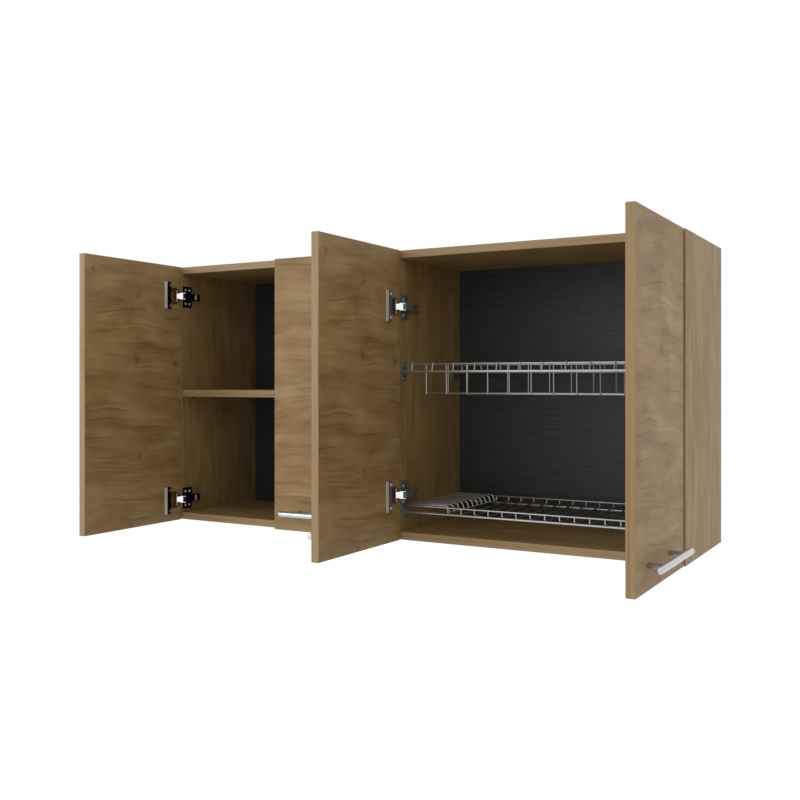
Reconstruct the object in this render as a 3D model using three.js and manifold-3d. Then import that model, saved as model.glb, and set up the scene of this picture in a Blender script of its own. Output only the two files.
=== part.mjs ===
// Kitchen wall cabinet: two equal carcases side by side, each with a pair of doors on concealed hinges.
// The left carcase holds a shelf, the right one a wire plate rack and a wire cup tray.
// Millimetres, +Z up, +X to the right and -Y towards the person in front.
// The origin lies on the wall plane, on the seam between the carcases, level with their underside.
import * as THREE from "three";
import { mergeVertices } from "three/addons/utils/BufferGeometryUtils.js";
import Module from "manifold-3d";

const wasm = await Module();
wasm.setup();

// Carcases
const carcaseWidth = 600;
const carcaseHeight = 600;
const carcaseDepth = 300;
const boardThickness = 16;
const seamGap = 0.4; // between the two carcases
const fitGap = 0.3; // between pieces that seat on each other
const cutOverrun = 1;

// Back sheets, held in grooves
const backThickness = 3;
const backRecess = 19; // from the wall to the back sheet
const grooveDepth = 8;

// Shelf and its pins
const shelfFrontSetback = 0.5;
const shelfTopHeight = 308;
const shelfSideGap = 0.5;
const shelfPinRadius = 2.5;
const shelfPinLength = 9;
const shelfPinSetback = 37; // from the front edge, and from the back sheet
const shelfPinSeat = grooveDepth; // how deep the pins sit in the sides

// Hanger plates behind the back sheets
const hangerWidth = 40;
const hangerHeight = 60;
const hangerThickness = 2;
const hangerTopDrop = 8; // below the top panel
const hangerHookReach = 14;
const hangerHookDrop = 18;

// Doors
const doorThickness = 16;
const doorReveal = 1.5; // from a carcase's side to the closed door's hinge edge
const doorMiddleGap = 9; // between a carcase's two closed doors
const doorWidth = (carcaseWidth - doorMiddleGap) / 2 - doorReveal;
const doorHeight = carcaseHeight;
const doorBumperGap = 2.2; // from the carcase's front to the closed door
const doorEdgeEase = 0.6;
const pivotInset = 6.5; // the swing axis, from the door's hinge edge
const pivotDepth = 10.5; // the swing axis, below the door's inner face

// Handles: a round bar on two posts
const handleLength = 200;
const handleBarRadius = 6;
const handlePostRadius = 4.5;
const handlePostSpacing = 128;
const handleStandoff = 27.5; // from the door's face to the bar's axis
const handleShift = 13; // of the handle's middle from the door's, towards the free edge
const handleHeight = 40; // above the door's lower end

// Hinges: cup in the door
const cupRadius = 17.5;
const cupWall = 0.8;
const cupDepth = 12;
const cupInset = 22.5; // from the door's hinge edge to the cup's axis
const cupRimRadius = 19;
const cupRimHeight = 1;
const boreGap = 0.3;
const flangeStart = 36.5; // from the door's hinge edge
const flangeEnd = 56;
const flangeHeight = 63;
const flangeThickness = 2.7;
const flangeBevel = 6.5;
const flangeLip = 0.8;
const flangeScrewInset = 40.5;
const flangeScrewSpacing = 48;
const screwHeadRadius = 3.2;
const screwHeadHeight = 0.9;

// Hinges: link between the cup and the arm
const linkSeatInset = 13; // the cup's pin, from the door's hinge edge
const linkSeatDepth = 1.5; // the cup's pin, below the door's inner face
const linkReach = 25; // from the swing axis to the arm's pin
const linkWall = 1.1;
const linkSideGap = 0.5; // between the link's cheeks and the arm's nose
const linkEndRadius = 2;
const linkTipLength = 7.5; // its narrow end in the cup
const linkTipHalfWidth = 4.6;
const linkBossRadius = 3.4;
const linkPinRadius = 1.3;
const linkPinHead = 0.4;

// Hinges: arm and its mounting plate on the carcase's side
const noseHalfWidth = 6;
const noseRadius = 3.4;
const noseGap = 0.8; // between the nose and the link's web
const armPinGap = 0.5;
const armHalfWidth = 8;
const armWall = 1.4;
const armRise = 13; // from the side's face to the arm's top
const armStart = 4; // from the carcase's front
const closedArmLength = 44;
const forkedArmLength = 58;
const forkHalfGap = 3.6;
const forkLength = 25;
const slotSetback = 18; // from the arm's start to the slot's middle
const slotHalfLength = 4.5;
const slotHalfWidth = 3.3;
const slotScrewRadius = 2.4;
const noseScrewSetback = 5; // from the arm's start
const clipSetback = 29; // from the arm's start to the middle of a closed arm's release clip
const clipHalfLength = 3;
const clipHalfWidth = 6;
const clipHeight = 0.5;
const plateStart = 1;
const plateLength = 29;
const plateHeight = 50;
const plateThickness = 2.2;
const plateCorner = 2;
const plateScrewSpacing = 32;
const plateScrewSetback = 9;
const plateRowSpacing = 13; // from the front screws to the rear screws or slots
const plateSlotRadius = 2.2;
const plateSlotLength = 8;

// Hinge heights for each carcase: the lower hinges from the doors' lower ends, the upper ones from their tops
const leftHingeRise = 49;
const leftHingeDrop = 70;
const rightHingeRise = 94.5;
const rightHingeDrop = 118;
const leftHingeHeights = { lower: leftHingeRise, upper: doorHeight - leftHingeDrop };
const rightHingeHeights = { lower: rightHingeRise, upper: doorHeight - rightHingeDrop };

// Wire racks
const railRadius = 2.5;
const wireRadius = 1.5;
const wireBendTrim = 2.5; // from a bend's corner to where it starts
const weldSink = 0.5; // how far crossing wires are pressed into each other
const railWallGap = 3.5; // from a carcase's side to the rail's end

// Plate rack, its places along the depth measured from the carcase's front
const plateRackWires = 12;
const plateRackSideGap = 21.1; // from a side panel to the first and last bent wire
const plateRackRailDrop = 251.5; // from the carcase's top to the rails
const plateRackRise = 18.5; // of the bent wires above the rails
const plateRackSink = 45.5; // of the slots' floor below the rails
const plateRackFrontSetback = 10;
const plateRackLean = 5; // of its ends, over their rise
const plateRackSlotLean = 2;
const plateRackOverhang = 10; // of the long wires past the first and last bent ones
const plateRackSlotStart = 74;
const plateRackSlotEnd = 177;
const plateRackRearSetback = 250;

// Cup tray
const trayWires = 16;
const traySideGap = 14.9; // from the right side panel to the last wire
const trayGridSpan = 104.6; // from the left side panel to the first wire
const trayRimSideGap = 10;
const trayRailSetback = 5; // from the rim
const trayRailHeight = 56.5;
const trayRimHeight = 71;
const trayFrontSetback = 12;
const trayRearSetback = 252;
const gridWires = 11;
const gridRun = 5; // of the slope down to the first tray wire
const gridSetback = 10; // from the tray's rims to the first and last grid wire

// Rack brackets on the carcase's sides
const bracketThickness = 2.5;
const bracketWidth = 16;
const bracketCorner = 3;
const bracketScrewInset = 5; // from the bracket's ends
const plateBracketHeight = 38;
const trayBracketHeight = 22;
const bracketBossRadius = 6;
const bracketBossLength = 10;
const bracketBoreGap = 0.35;

// Facets
const plateWireSides = 5;
const trayWireSides = 4;
const railSides = 6;
const handleSides = 10;
const bossSides = 8;
const smallSides = 6;
const cupSides = 16;
const bendSteps = 1;
const cornerSteps = 1;
const capSteps = 2;
const noseSteps = 3;

// Turns
const quarterTurn = Math.PI / 2;
const doorOpenings = { door_1: quarterTurn, door_2: 0, door_3: quarterTurn, door_4: quarterTurn };

// Materials
const oak = new THREE.MeshStandardMaterial({ color: "#94825f", roughness: 0.6, metalness: 0 });
const anthracite = new THREE.MeshStandardMaterial({ color: "#1f1f1f", roughness: 0.55, metalness: 0 });
const satinSteel = new THREE.MeshStandardMaterial({ color: "#b9bcbf", roughness: 0.3, metalness: 1 });
const brightSteel = new THREE.MeshStandardMaterial({ color: "#e4e4e2", roughness: 0.2, metalness: 1 });
const darkSteel = new THREE.MeshStandardMaterial({ color: "#2c2a2b", roughness: 0.35, metalness: 0.8 });
const greySteel = new THREE.MeshStandardMaterial({ color: "#55565a", roughness: 0.35, metalness: 0.8 });
const greyPlastic = new THREE.MeshStandardMaterial({ color: "#5a5c62", roughness: 0.5, metalness: 0 });

// Solids from three.js geometry, joined and cut

function solidOf(geometry) {
  const bare = geometry.clone();
  bare.deleteAttribute("normal");
  bare.deleteAttribute("uv");
  const merged = mergeVertices(bare);
  const corners = merged.index.array;
  const whole = [];
  for (let i = 0; i < corners.length; i += 3) {
    const [a, b, c] = corners.slice(i, i + 3);
    if (a !== b && b !== c && c !== a) {
      whole.push(a, b, c);
    }
  }
  return new wasm.Manifold(
    new wasm.Mesh({
      numProp: 3,
      vertProperties: Float32Array.from(merged.attributes.position.array),
      triVerts: Uint32Array.from(whole),
    }),
  );
}

function geometryOf(solid) {
  const mesh = solid.getMesh();
  const geometry = new THREE.BufferGeometry();
  geometry.setAttribute("position", new THREE.BufferAttribute(mesh.vertProperties, mesh.numProp));
  geometry.setIndex(new THREE.BufferAttribute(mesh.triVerts, 1));
  geometry.computeVertexNormals();
  return geometry;
}

function joined(solids) {
  return solids.reduce((whole, next) => whole.add(next));
}

function boxSolid(x, y, z) {
  const geometry = new THREE.BoxGeometry(x[1] - x[0], y[1] - y[0], z[1] - z[0]);
  geometry.translate((x[0] + x[1]) / 2, (y[0] + y[1]) / 2, (z[0] + z[1]) / 2);
  return solidOf(geometry);
}

// A round bar between two points
function rodSolid(from, to, radius, sides) {
  const start = new THREE.Vector3(...from);
  const run = new THREE.Vector3(...to).sub(start);
  const geometry = new THREE.CylinderGeometry(radius, radius, run.length(), sides);
  const along = new THREE.Vector3(0, 1, 0);
  geometry.applyQuaternion(new THREE.Quaternion().setFromUnitVectors(along, run.clone().normalize()));
  geometry.translate(...start.addScaledVector(run, 1 / 2).toArray());
  return solidOf(geometry);
}

// An outline in the XY plane, drawn up along Z between two heights
function prismSolid(outline, z) {
  const shape = new THREE.Shape(outline.map(([x, y]) => new THREE.Vector2(x, y)));
  const geometry = new THREE.ExtrudeGeometry(shape, { depth: z[1] - z[0], bevelEnabled: false });
  geometry.translate(0, 0, z[0]);
  return solidOf(geometry);
}

// The points of an arc in the XY plane
function arcPoints(centre, radius, from, to, steps) {
  const points = [];
  for (let i = 0; i <= steps; i += 1) {
    const turn = from + ((to - from) * i) / steps;
    points.push([centre[0] + radius * Math.cos(turn), centre[1] + radius * Math.sin(turn)]);
  }
  return points;
}

// A bent wire's middle line, with a ring at each of its points
class WirePath extends THREE.Curve {
  constructor(points) {
    super();
    this.points = points;
  }

  getPoint(share, target = new THREE.Vector3()) {
    return target.copy(this.points[Math.round(share * (this.points.length - 1))]);
  }

  getPointAt(share, target) {
    return this.getPoint(share, target);
  }

  getTangentAt(share, target = new THREE.Vector3()) {
    const last = this.points.length - 1;
    const i = Math.round(share * last);
    const before = this.points[Math.max(i - 1, 0)];
    const here = this.points[i];
    const after = this.points[Math.min(i + 1, last)];
    const arriving = here.clone().sub(before).normalize();
    const leaving = after.clone().sub(here).normalize();
    return target.addVectors(arriving, leaving).normalize();
  }

  getTangent(share, target) {
    return this.getTangentAt(share, target);
  }
}

// A wire through corner points, with each corner rounded
function wireSolid(corners, radius, sides) {
  const ends = corners.map((corner) => new THREE.Vector3(...corner));
  const points = [ends[0]];
  for (let i = 1; i < ends.length - 1; i += 1) {
    const back = ends[i - 1].clone().sub(ends[i]);
    const on = ends[i + 1].clone().sub(ends[i]);
    const trim = Math.min(wireBendTrim, back.length() / 2, on.length() / 2);
    const first = ends[i].clone().addScaledVector(back.normalize(), trim);
    const last = ends[i].clone().addScaledVector(on.normalize(), trim);
    const bend = new THREE.QuadraticBezierCurve3(first, ends[i], last);
    points.push(...bend.getPoints(bendSteps));
  }
  points.push(ends[ends.length - 1]);
  const spaced = points.filter((point, i) => i === 0 || point.distanceTo(points[i - 1]) > radius / sides);
  const section = new THREE.Shape(
    arcPoints([0, 0], radius, 0, 2 * Math.PI, sides)
      .slice(0, sides)
      .map(([x, y]) => new THREE.Vector2(x, y)),
  );
  const geometry = new THREE.ExtrudeGeometry(section, {
    steps: spaced.length - 1,
    extrudePath: new WirePath(spaced),
    bevelEnabled: false,
  });
  return solidOf(geometry);
}

// An outline in the YZ plane, drawn along X between two places
function sheetSolid(outline, x) {
  const shape = new THREE.Shape(outline.map(([y, z]) => new THREE.Vector2(y, z)));
  const geometry = new THREE.ExtrudeGeometry(shape, { depth: x[1] - x[0], bevelEnabled: false });
  const turned = new THREE.Matrix4().makeBasis(
    new THREE.Vector3(0, 1, 0),
    new THREE.Vector3(0, 0, 1),
    new THREE.Vector3(1, 0, 0),
  );
  geometry.applyMatrix4(turned);
  geometry.translate(x[0], 0, 0);
  return solidOf(geometry);
}

// A rectangle with rounded corners, given by its middle, its half sizes and the corners' radius
function roundedOutline(middle, half, radius) {
  const turns = [0, 1, 2, 3];
  const ways = [
    [1, 1],
    [-1, 1],
    [-1, -1],
    [1, -1],
  ];
  return turns.flatMap((turn) => {
    const centre = [
      middle[0] + ways[turn][0] * (half[0] - radius),
      middle[1] + ways[turn][1] * (half[1] - radius),
    ];
    return arcPoints(centre, radius, turn * quarterTurn, (turn + 1) * quarterTurn, cornerSteps);
  });
}

// A mesh of a solid; a hand of -1 gives the mirror image across X = 0
function named(name, solid, material, hand = 1) {
  const geometry = geometryOf(solid);
  if (hand < 0) {
    geometry.scale(hand, 1, 1);
    const corners = geometry.index.array;
    for (let i = 0; i < corners.length; i += 3) {
      [corners[i], corners[i + 1]] = [corners[i + 1], corners[i]];
    }
    geometry.computeVertexNormals();
  }
  const mesh = new THREE.Mesh(geometry, material);
  mesh.name = name;
  return mesh;
}

// Carcase panels, in a carcase's own frame: its left side's outer face at X = 0 and the wall at Y = 0

const backFace = -backRecess - backThickness; // the back sheet's inner face
const groove = [backFace - fitGap, -backRecess + fitGap];
const shelfUnderside = shelfTopHeight - boardThickness;

function sidePanel(pinned) {
  const inner = boardThickness;
  const grooveFloor = boardThickness - grooveDepth;
  let panel = boxSolid([0, inner], [-carcaseDepth, 0], [0, carcaseHeight]);
  const grooveEnds = [grooveFloor, carcaseHeight - grooveFloor];
  panel = panel.subtract(boxSolid([grooveFloor, inner + cutOverrun], groove, grooveEnds));
  if (pinned) {
    const height = shelfUnderside - fitGap - shelfPinRadius;
    for (const y of [-carcaseDepth + shelfPinSetback, backFace - shelfPinSetback]) {
      const seat = [inner - shelfPinSeat, y, height];
      const pin = rodSolid(seat, [inner + shelfPinLength, y, height], shelfPinRadius, smallSides);
      panel = panel.add(pin);
    }
  }
  return panel;
}

// The top panel, or the bottom one, which is the same board turned over
function levelPanel(lowest, grooveAbove) {
  const x = [boardThickness + fitGap, carcaseWidth - boardThickness - fitGap];
  const z = [lowest, lowest + boardThickness];
  const panel = boxSolid(x, [-carcaseDepth, 0], z);
  const cut = grooveAbove
    ? [z[1] - grooveDepth, z[1] + cutOverrun]
    : [z[0] - cutOverrun, z[0] + grooveDepth];
  return panel.subtract(boxSolid([x[0] - cutOverrun, x[1] + cutOverrun], groove, cut));
}

function backSheet() {
  const edge = boardThickness - grooveDepth + fitGap;
  return boxSolid([edge, carcaseWidth - edge], [backFace, -backRecess], [edge, carcaseHeight - edge]);
}

function shelfPanel() {
  const x = [boardThickness + shelfSideGap, carcaseWidth - boardThickness - shelfSideGap];
  const y = [-carcaseDepth + shelfFrontSetback, backFace - fitGap];
  return boxSolid(x, y, [shelfUnderside, shelfTopHeight]);
}

// An angle plate on the side panel, behind the back sheet, whose hook hangs on the wall rail
function hangerPlate() {
  const x = boardThickness + fitGap;
  const top = carcaseHeight - boardThickness - hangerTopDrop;
  const front = -backRecess + fitGap;
  const flank = boxSolid([x, x + hangerThickness], [front, -hangerThickness], [top - hangerHeight, top]);
  const face = boxSolid(
    [x, x + hangerWidth],
    [front, front + hangerThickness],
    [top - hangerHeight, top],
  );
  const hookEnd = front + hangerHookReach;
  const hook = boxSolid([x, x + hangerWidth], [front, hookEnd], [top - hangerThickness, top]);
  const lipFace = hookEnd - hangerThickness;
  const lip = boxSolid([x, x + hangerWidth], [lipFace, hookEnd], [top - hangerHookDrop, top]);
  return joined([flank, face, hook, lip]);
}

// Hinged parts, in a hinge side's frame: the side panel's outer face at X = 0, its front edge at Y = 0,
// the door's inside towards +X. Right-hand doors are the mirror image.

const pivot = new THREE.Vector2(doorReveal + pivotInset, -doorBumperGap - pivotDepth);
// The link's seat, from the pivot, with the door closed
const linkSeat = new THREE.Vector2(linkSeatInset - pivotInset, pivotDepth - linkSeatDepth);
const linkSeatOpen = linkSeat.clone().rotateAround(new THREE.Vector2(), -quarterTurn);
const armPinWay = linkSeat.clone().rotateAround(new THREE.Vector2(), -quarterTurn / 2).normalize();
const armPin = pivot.clone().addScaledVector(armPinWay, linkReach);
const linkClosed = pivot.clone().add(linkSeat).sub(armPin);
const linkOpen = pivot.clone().add(linkSeatOpen).sub(armPin);
const linkLength = linkClosed.length();
const linkClosedTurn = Math.atan2(linkClosed.y, linkClosed.x);
// Counter-clockwise, while the door turns a quarter clockwise
const linkSwing = linkClosed.angleTo(linkOpen);

// A door in its swing frame: the swing axis at X = Y = 0, the door closed
function doorPanel(hingeHeights) {
  const x = [-pivotInset, doorWidth - pivotInset];
  const y = [pivotDepth - doorThickness, pivotDepth];
  const ease = doorEdgeEase;
  const outline = [
    [x[0] + ease, y[0]],
    [x[1] - ease, y[0]],
    [x[1], y[0] + ease],
    [x[1], y[1] - ease],
    [x[1] - ease, y[1]],
    [x[0] + ease, y[1]],
    [x[0], y[1] - ease],
    [x[0], y[0] + ease],
  ];
  let panel = prismSolid(outline, [0, doorHeight]);
  for (const height of Object.values(hingeHeights)) {
    const centre = cupInset - pivotInset;
    const floor = pivotDepth - cupDepth - boreGap;
    const bore = rodSolid(
      [centre, floor, height],
      [centre, pivotDepth + cutOverrun, height],
      cupRadius + boreGap,
      cupSides,
    );
    panel = panel.subtract(bore);
  }
  return panel;
}

// The handle on the door's outer face, its middle at the origin of the bar's axis
function handle() {
  const bar = new THREE.CapsuleGeometry(
    handleBarRadius,
    handleLength - 2 * handleBarRadius,
    capSteps,
    handleSides,
  );
  bar.rotateZ(quarterTurn);
  let solid = solidOf(bar);
  for (const side of [-1, 1]) {
    const x = (side * handlePostSpacing) / 2;
    const post = rodSolid([x, 0, 0], [x, handleStandoff - fitGap, 0], handlePostRadius, handleSides);
    solid = solid.add(post);
  }
  return solid;
}

// The cup with its flange, its axis along Y through the origin, the door's inner face at Y = 0
function hingeCup() {
  const inner = cupRadius - cupWall;
  const profile = [
    [0, -cupDepth],
    [cupRadius, -cupDepth],
    [cupRadius, fitGap],
    [cupRimRadius, fitGap],
    [cupRimRadius, cupRimHeight],
    [inner, cupRimHeight],
    [inner, cupWall - cupDepth],
    [0, cupWall - cupDepth],
  ];
  const shell = solidOf(new THREE.LatheGeometry(profile.map(([r, y]) => new THREE.Vector2(r, y)), cupSides));
  const start = flangeStart - cupInset;
  const end = flangeEnd - cupInset;
  const face = fitGap + flangeThickness;
  const outline = [
    [start, fitGap],
    [end, fitGap],
    [end, fitGap + flangeLip],
    [end - flangeBevel, face],
    [start, face],
  ];
  let flange = prismSolid(outline, [-flangeHeight / 2, flangeHeight / 2]);
  const mouth = rodSolid([0, -cutOverrun, 0], [0, face + cutOverrun, 0], inner, cupSides);
  flange = flange.subtract(mouth);
  for (const side of [-1, 1]) {
    const x = flangeScrewInset - cupInset;
    const z = (side * flangeScrewSpacing) / 2;
    const head = rodSolid([x, fitGap, z], [x, face + screwHeadHeight, z], screwHeadRadius, smallSides);
    flange = flange.add(head);
  }
  // Pin stubs for the link's end, one in each side of the wall
  const seat = [linkSeatInset - cupInset, -linkSeatDepth];
  const stubStart = linkTipHalfWidth + fitGap;
  const stubEnd = Math.sqrt((cupRadius - cupWall / 2) ** 2 - (linkPinRadius - seat[0]) ** 2);
  const stubs = [-1, 1].map((side) =>
    rodSolid([...seat, side * stubStart], [...seat, side * stubEnd], linkPinRadius, smallSides),
  );
  return joined([shell, flange, ...stubs]);
}

// The link, its arm pin along Z through the origin and its cup end at X = the link's length
function hingeLink() {
  const inner = noseHalfWidth + linkSideGap;
  const outer = inner + linkWall;
  const profile = [
    ...arcPoints([0, 0], linkBossRadius, quarterTurn, 3 * quarterTurn, noseSteps),
    [linkLength, -linkEndRadius],
    [linkLength + linkEndRadius, 0],
    [linkLength, linkEndRadius],
  ];
  const webStart = noseRadius + noseGap;
  const webFace = linkEndRadius - linkWall;
  const tipStart = linkLength - linkTipLength;
  const near = -linkBossRadius - cutOverrun;
  const opening = [
    [near, -near],
    [webStart, -near],
    [webStart, webFace],
    [tipStart, webFace],
    [tipStart, near],
    [near, near],
  ];
  let solid = prismSolid(profile, [-outer, outer]).subtract(prismSolid(opening, [-inner, inner]));
  const tip = [tipStart, linkLength + linkEndRadius + cutOverrun];
  for (const z of [
    [-outer - cutOverrun, -linkTipHalfWidth],
    [linkTipHalfWidth, outer + cutOverrun],
  ]) {
    solid = solid.subtract(boxSolid(tip, [near, -near], z));
  }
  const head = outer + linkPinHead;
  return solid.add(rodSolid([0, 0, -head], [0, 0, head], linkPinRadius, smallSides));
}

// The arm on its mounting plate, for a hinge at height 0. A forked arm's tail is open between two prongs,
// and a closed one carries a release clip.
function hingeArm(forked) {
  const underside = boardThickness + fitGap;
  const plateTop = underside + plateThickness;
  const armTop = underside + armRise;
  const armBase = underside + plateThickness / 2;
  const armEnd = armStart + (forked ? forkedArmLength : closedArmLength);
  const inner = armHalfWidth - armWall;

  const nose = [
    ...arcPoints(armPin.toArray(), noseRadius, 2 * quarterTurn, 4 * quarterTurn, noseSteps),
    [armTop, armStart + armWall],
    [armBase, armStart + armWall],
  ];
  const body = boxSolid([armBase, armTop], [armStart, armEnd], [-armHalfWidth, armHalfWidth]);
  const hollowEnd = forked ? armEnd + cutOverrun : armEnd - armWall;
  const hollow = boxSolid(
    [armBase - cutOverrun, armTop - armWall],
    [armStart + armWall, hollowEnd],
    [-inner, inner],
  );
  const slotMiddle = armStart + slotSetback;
  const slot = boxSolid(
    [armTop - armWall - cutOverrun, armTop + cutOverrun],
    [slotMiddle - slotHalfLength, slotMiddle + slotHalfLength],
    [-slotHalfWidth, slotHalfWidth],
  );
  let arm = body.subtract(hollow).subtract(slot);
  if (forked) {
    const gap = boxSolid(
      [armBase - cutOverrun, armTop + cutOverrun],
      [armEnd - forkLength, armEnd + cutOverrun],
      [-forkHalfGap, forkHalfGap],
    );
    arm = arm.subtract(gap);
  } else {
    const clipMiddle = armStart + clipSetback;
    const clip = boxSolid(
      [armTop - armWall / 2, armTop + clipHeight],
      [clipMiddle - clipHalfLength, clipMiddle + clipHalfLength],
      [-clipHalfWidth, clipHalfWidth],
    );
    arm = arm.add(clip);
  }
  arm = arm.add(prismSolid(nose, [-noseHalfWidth, noseHalfWidth]));

  const plateMiddle = plateStart + plateLength / 2;
  const half = [plateLength / 2, plateHeight / 2];
  let plate = sheetSolid(roundedOutline([plateMiddle, 0], half, plateCorner), [underside, plateTop]);
  const rear = plateScrewSetback + plateRowSpacing;
  for (const side of [-1, 1]) {
    const z = (side * plateScrewSpacing) / 2;
    for (const y of forked ? [plateScrewSetback] : [plateScrewSetback, rear]) {
      plate = plate.add(
        rodSolid([armBase, y, z], [plateTop + screwHeadHeight, y, z], screwHeadRadius, smallSides),
      );
    }
    if (forked) {
      const size = [plateSlotRadius, plateSlotLength / 2];
      const through = [underside - cutOverrun, plateTop + cutOverrun];
      plate = plate.subtract(sheetSolid(roundedOutline([rear, z], size, plateSlotRadius), through));
    }
  }
  const fixing = rodSolid(
    [armBase, slotMiddle, 0],
    [armTop + screwHeadHeight, slotMiddle, 0],
    slotScrewRadius,
    smallSides,
  );
  const noseScrewPlace = armStart + noseScrewSetback;
  const adjuster = rodSolid(
    [armTop - armWall / 2, noseScrewPlace, 0],
    [armTop + screwHeadHeight, noseScrewPlace, 0],
    screwHeadRadius,
    smallSides,
  );
  const bore = rodSolid(
    [armPin.x, armPin.y, -noseHalfWidth - cutOverrun],
    [armPin.x, armPin.y, noseHalfWidth + cutOverrun],
    linkPinRadius + armPinGap,
    smallSides,
  );
  return joined([arm, plate, fixing, adjuster]).subtract(bore);
}

// Wire racks, in the carcase's own frame

const railEnds = [boardThickness + railWallGap, carcaseWidth - boardThickness - railWallGap];
const plateRackRailHeight = carcaseHeight - plateRackRailDrop;

function railSolid(y, z) {
  return rodSolid([railEnds[0], y, z], [railEnds[1], y, z], railRadius, railSides);
}

function plateRack() {
  const front = plateRackFrontSetback - carcaseDepth;
  const rear = plateRackRearSetback - carcaseDepth;
  const slotFront = plateRackSlotStart - carcaseDepth;
  const slotRear = plateRackSlotEnd - carcaseDepth;
  const top = plateRackRailHeight + plateRackRise;
  const floor = plateRackRailHeight - plateRackSink;
  const section = [
    [front, plateRackRailHeight],
    [front + plateRackLean, top],
    [slotFront, top],
    [slotFront + plateRackSlotLean, floor],
    [slotRear, floor],
    [slotRear, top],
    [rear - plateRackLean, top],
    [rear, plateRackRailHeight],
  ];
  const solids = [railSolid(front, plateRackRailHeight), railSolid(rear, plateRackRailHeight)];
  const first = boardThickness + plateRackSideGap;
  const last = carcaseWidth - first;
  const pitch = (last - first) / (plateRackWires - 1);
  for (let i = 0; i < plateRackWires; i += 1) {
    const x = first + i * pitch;
    solids.push(wireSolid(section.map(([y, z]) => [x, y, z]), wireRadius, plateWireSides));
  }
  const ends = [first - plateRackOverhang, last + plateRackOverhang];
  for (const [y, z] of section.slice(1, section.length - 2)) {
    solids.push(rodSolid([ends[0], y, z], [ends[1], y, z], wireRadius, plateWireSides));
  }
  return joined(solids);
}

function cupTray() {
  const front = trayFrontSetback - carcaseDepth;
  const rear = trayRearSetback - carcaseDepth;
  const floor = trayRailHeight + railRadius + wireRadius - weldSink;
  const left = boardThickness + trayRimSideGap;
  const right = carcaseWidth - left;
  const lastWire = carcaseWidth - boardThickness - traySideGap;
  const firstWire = boardThickness + trayGridSpan;
  const trayPitch = (lastWire - firstWire) / (trayWires - 1);
  const solids = [
    railSolid(front + trayRailSetback, trayRailHeight),
    railSolid(rear - trayRailSetback, trayRailHeight),
  ];
  for (const y of [front, rear]) {
    solids.push(rodSolid([left, y, trayRimHeight], [right, y, trayRimHeight], wireRadius, trayWireSides));
  }
  for (const x of [left, right]) {
    solids.push(rodSolid([x, front, trayRimHeight], [x, rear, trayRimHeight], wireRadius, trayWireSides));
  }
  for (let i = 0; i < trayWires; i += 1) {
    const x = firstWire + i * trayPitch;
    const section = [
      [x, front, trayRimHeight],
      [x, front, floor],
      [x, rear, floor],
      [x, rear, trayRimHeight],
    ];
    solids.push(wireSolid(section, wireRadius, trayWireSides));
  }
  const gridHeight = trayRimHeight + 2 * wireRadius - weldSink;
  const gridFirst = front + gridSetback;
  const gridPitch = (rear - gridSetback - gridFirst) / (gridWires - 1);
  for (let i = 0; i < gridWires; i += 1) {
    const y = gridFirst + i * gridPitch;
    const section = [
      [left, y, gridHeight],
      [firstWire - gridRun, y, gridHeight],
      [firstWire, y, floor],
    ];
    solids.push(wireSolid(section, wireRadius, trayWireSides));
  }
  return joined(solids);
}

// A rack's bracket on the side panel, with the rail's axis along X through Y = Z = 0
function rackBracket(height) {
  const underside = boardThickness + fitGap;
  const top = underside + bracketThickness;
  const outline = roundedOutline([0, 0], [bracketWidth / 2, height / 2], bracketCorner);
  let solid = sheetSolid(outline, [underside, top]);
  for (const side of [-1, 1]) {
    const z = side * (height / 2 - bracketScrewInset);
    const base = underside + bracketThickness / 2;
    solid = solid.add(rodSolid([base, 0, z], [top + screwHeadHeight, 0, z], screwHeadRadius, smallSides));
  }
  const bossEnd = underside + bracketBossLength;
  const boss = rodSolid([underside, 0, 0], [bossEnd, 0, 0], bracketBossRadius, bossSides);
  const bore = rodSolid(
    [railEnds[0] - fitGap, 0, 0],
    [bossEnd + cutOverrun, 0, 0],
    railRadius + bracketBoreGap,
    railSides,
  );
  return solid.add(boss).subtract(bore);
}

// Assembly

const cabinet = new THREE.Group();
cabinet.name = "kitchen_wall_cabinet";

function placed(parent, mesh, x = 0, y = 0, z = 0) {
  mesh.position.set(x, y, z);
  parent.add(mesh);
  return mesh;
}

function addCarcase(label, left, pinned) {
  const carcase = new THREE.Group();
  carcase.position.x = left;
  cabinet.add(carcase);
  placed(carcase, named(`${label}_left_side`, sidePanel(pinned), oak));
  placed(carcase, named(`${label}_right_side`, sidePanel(pinned), oak, -1), carcaseWidth);
  placed(carcase, named(`${label}_bottom`, levelPanel(0, true), oak));
  placed(carcase, named(`${label}_top`, levelPanel(carcaseHeight - boardThickness, false), oak));
  placed(carcase, named(`${label}_back`, backSheet(), anthracite));
  placed(carcase, named(`${label}_hanger_left`, hangerPlate(), satinSteel));
  placed(carcase, named(`${label}_hanger_right`, hangerPlate(), satinSteel, -1), carcaseWidth);
  return carcase;
}

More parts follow.
